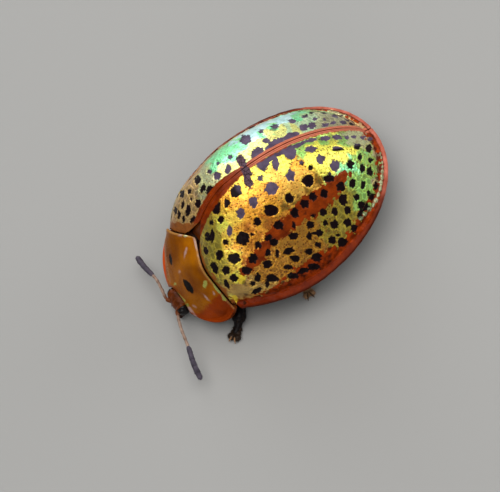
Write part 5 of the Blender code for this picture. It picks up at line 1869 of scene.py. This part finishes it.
def claw_part(root, ahead, sign):
    """One curved claw, on the side that sign gives."""
    side = np.array((-ahead[1], ahead[0], 0))
    knots = []
    for reach, spread, rise, radius in CLAW:
        place = root + ahead * reach + side * sign * spread + np.array((0, 0, rise))
        knots.append((*place, radius))
    return tube(knots, 4, 12)


def surface_hairs(part, draw, count, length, lean):
    """Hairs rooted at random points of a part, leaning along a direction."""
    points, _ = part
    centre = points.mean(axis=0)
    allowed = np.flatnonzero(points[:, 2] > 0.02)
    picked = draw.choice(allowed, min(count, len(allowed)), replace=False)
    out = points[picked] - centre
    out /= np.linalg.norm(out, axis=1)[:, None]
    ways = out * 0.7 + lean + draw.normal(0, 0.15, out.shape)
    ways[:, 2] = np.maximum(ways[:, 2], 0.05)
    ways /= np.linalg.norm(ways, axis=1)[:, None]
    lengths = draw.uniform(0.6, 1.3, len(picked)) * length
    return hairs(points[picked], ways, lengths, HAIR_RADIUS, 0.0)


print("knots along a claw:", len(CLAW))

# %% The legs
def build_leg(pair, side):
    """One leg, in millimetres above the floor until its parts are joined."""
    front = pair == "front"
    stout = FRONT_STOUTNESS if front else 1.0
    (hip, knee, ankle), ahead = leg_points(pair, side)
    draw = np.random.default_rng(31 + 2 * list(LEGS).index(pair) + (side == "left"))
    sideways = np.array((-ahead[1], ahead[0], 0))
    thigh = [(*mix(hip, knee, share), radius) for share, radius in THIGH]
    bulk = ((-0.08, 0.2), (0.08, 0.27 * stout), (0.5, 0.31 * stout), (0.88, 0.38 * stout),
            (1.0, 0.36 * stout))
    shin = [(*mix(knee, ankle, share), radius) for share, radius in bulk]
    foot = ankle + ahead * 0.1
    first = np.array((ankle[0], ankle[1], PAD_CENTRE_HEIGHT + 0.05))
    neck = [(*ankle, 0.3 * stout), (*mix(foot, first + ahead * 0.4, 0.5), 0.23 * stout),
            (*(first + ahead * 0.55), 0.2 * stout), (*(first + ahead * 0.9), 0.17 * stout)]
    parts = [tube(thigh, 8, 36), tube(shin, 8, 36), tube(neck, 6, 24)]
    tips = [0.0, 0.0, 0.0 if front else 0.35]
    level = np.array((ankle[0], ankle[1], PAD_CENTRE_HEIGHT))
    for i, (reach, length, width) in enumerate(PADS):
        last = i == len(PADS) - 1
        for lobe in ((1, -1) if last else (0,)):
            turn = lobe * 0.25
            way = ahead * math.cos(turn) + sideways * math.sin(turn)
            broad = width * (0.85 if last else 1) * stout
            pad = pad_part(level + ahead * reach + sideways * lobe * 0.2, way, length, broad)
            parts += [pad, surface_hairs(pad, draw, 90, 0.12, ahead * 0.4)]
            tips += [0.05, 0.1] if front else [0.75, 1.0]
    root = level + ahead * 1.05 + np.array((0, 0, 0.07))
    for sign in (1, -1):
        parts.append(claw_part(root, ahead, sign))
        tips.append(0.8 if front else 0.15)
    for part, count, length in ((parts[0], 60, 0.1), (parts[1], 140, 0.14)):
        parts.append(surface_hairs(part, draw, count, length, (ankle - knee) / 4))
        tips.append(0.35)
    on_floor = (-np.inf, -np.inf, 0.0)
    scaled = [(np.maximum(points, on_floor) * MM, faces) for points, faces in parts]
    return joined("leg", scaled, BODY_ORIGIN * (1, 1, 0), {"tip": tips})


for pair in LEGS:
    for side in ("left", "right"):
        nodes = ["%s_%s_%s" % (pair, side, part) for part in ("femur", "tibia", "tarsus")]
        show("leg_%s_%s" % (pair, side), build_leg(pair, side), leg_finish, "leg", *nodes)

# %% [markdown]
# ## The underside
# Under the wing cases lie the chest, which carries the legs, and the belly with its plates. They are seen
# only from low down, as a dark glossy body between the legs. The CAD solids have the right shape, so they
# stay, with the bare shell finish.

# %% The underside
for name in ("thorax", "abdomen", "prosternum"):
    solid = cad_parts[name]
    solid.data.materials.clear()
    solid.data.materials.append(belly_finish)
print("underside finished")
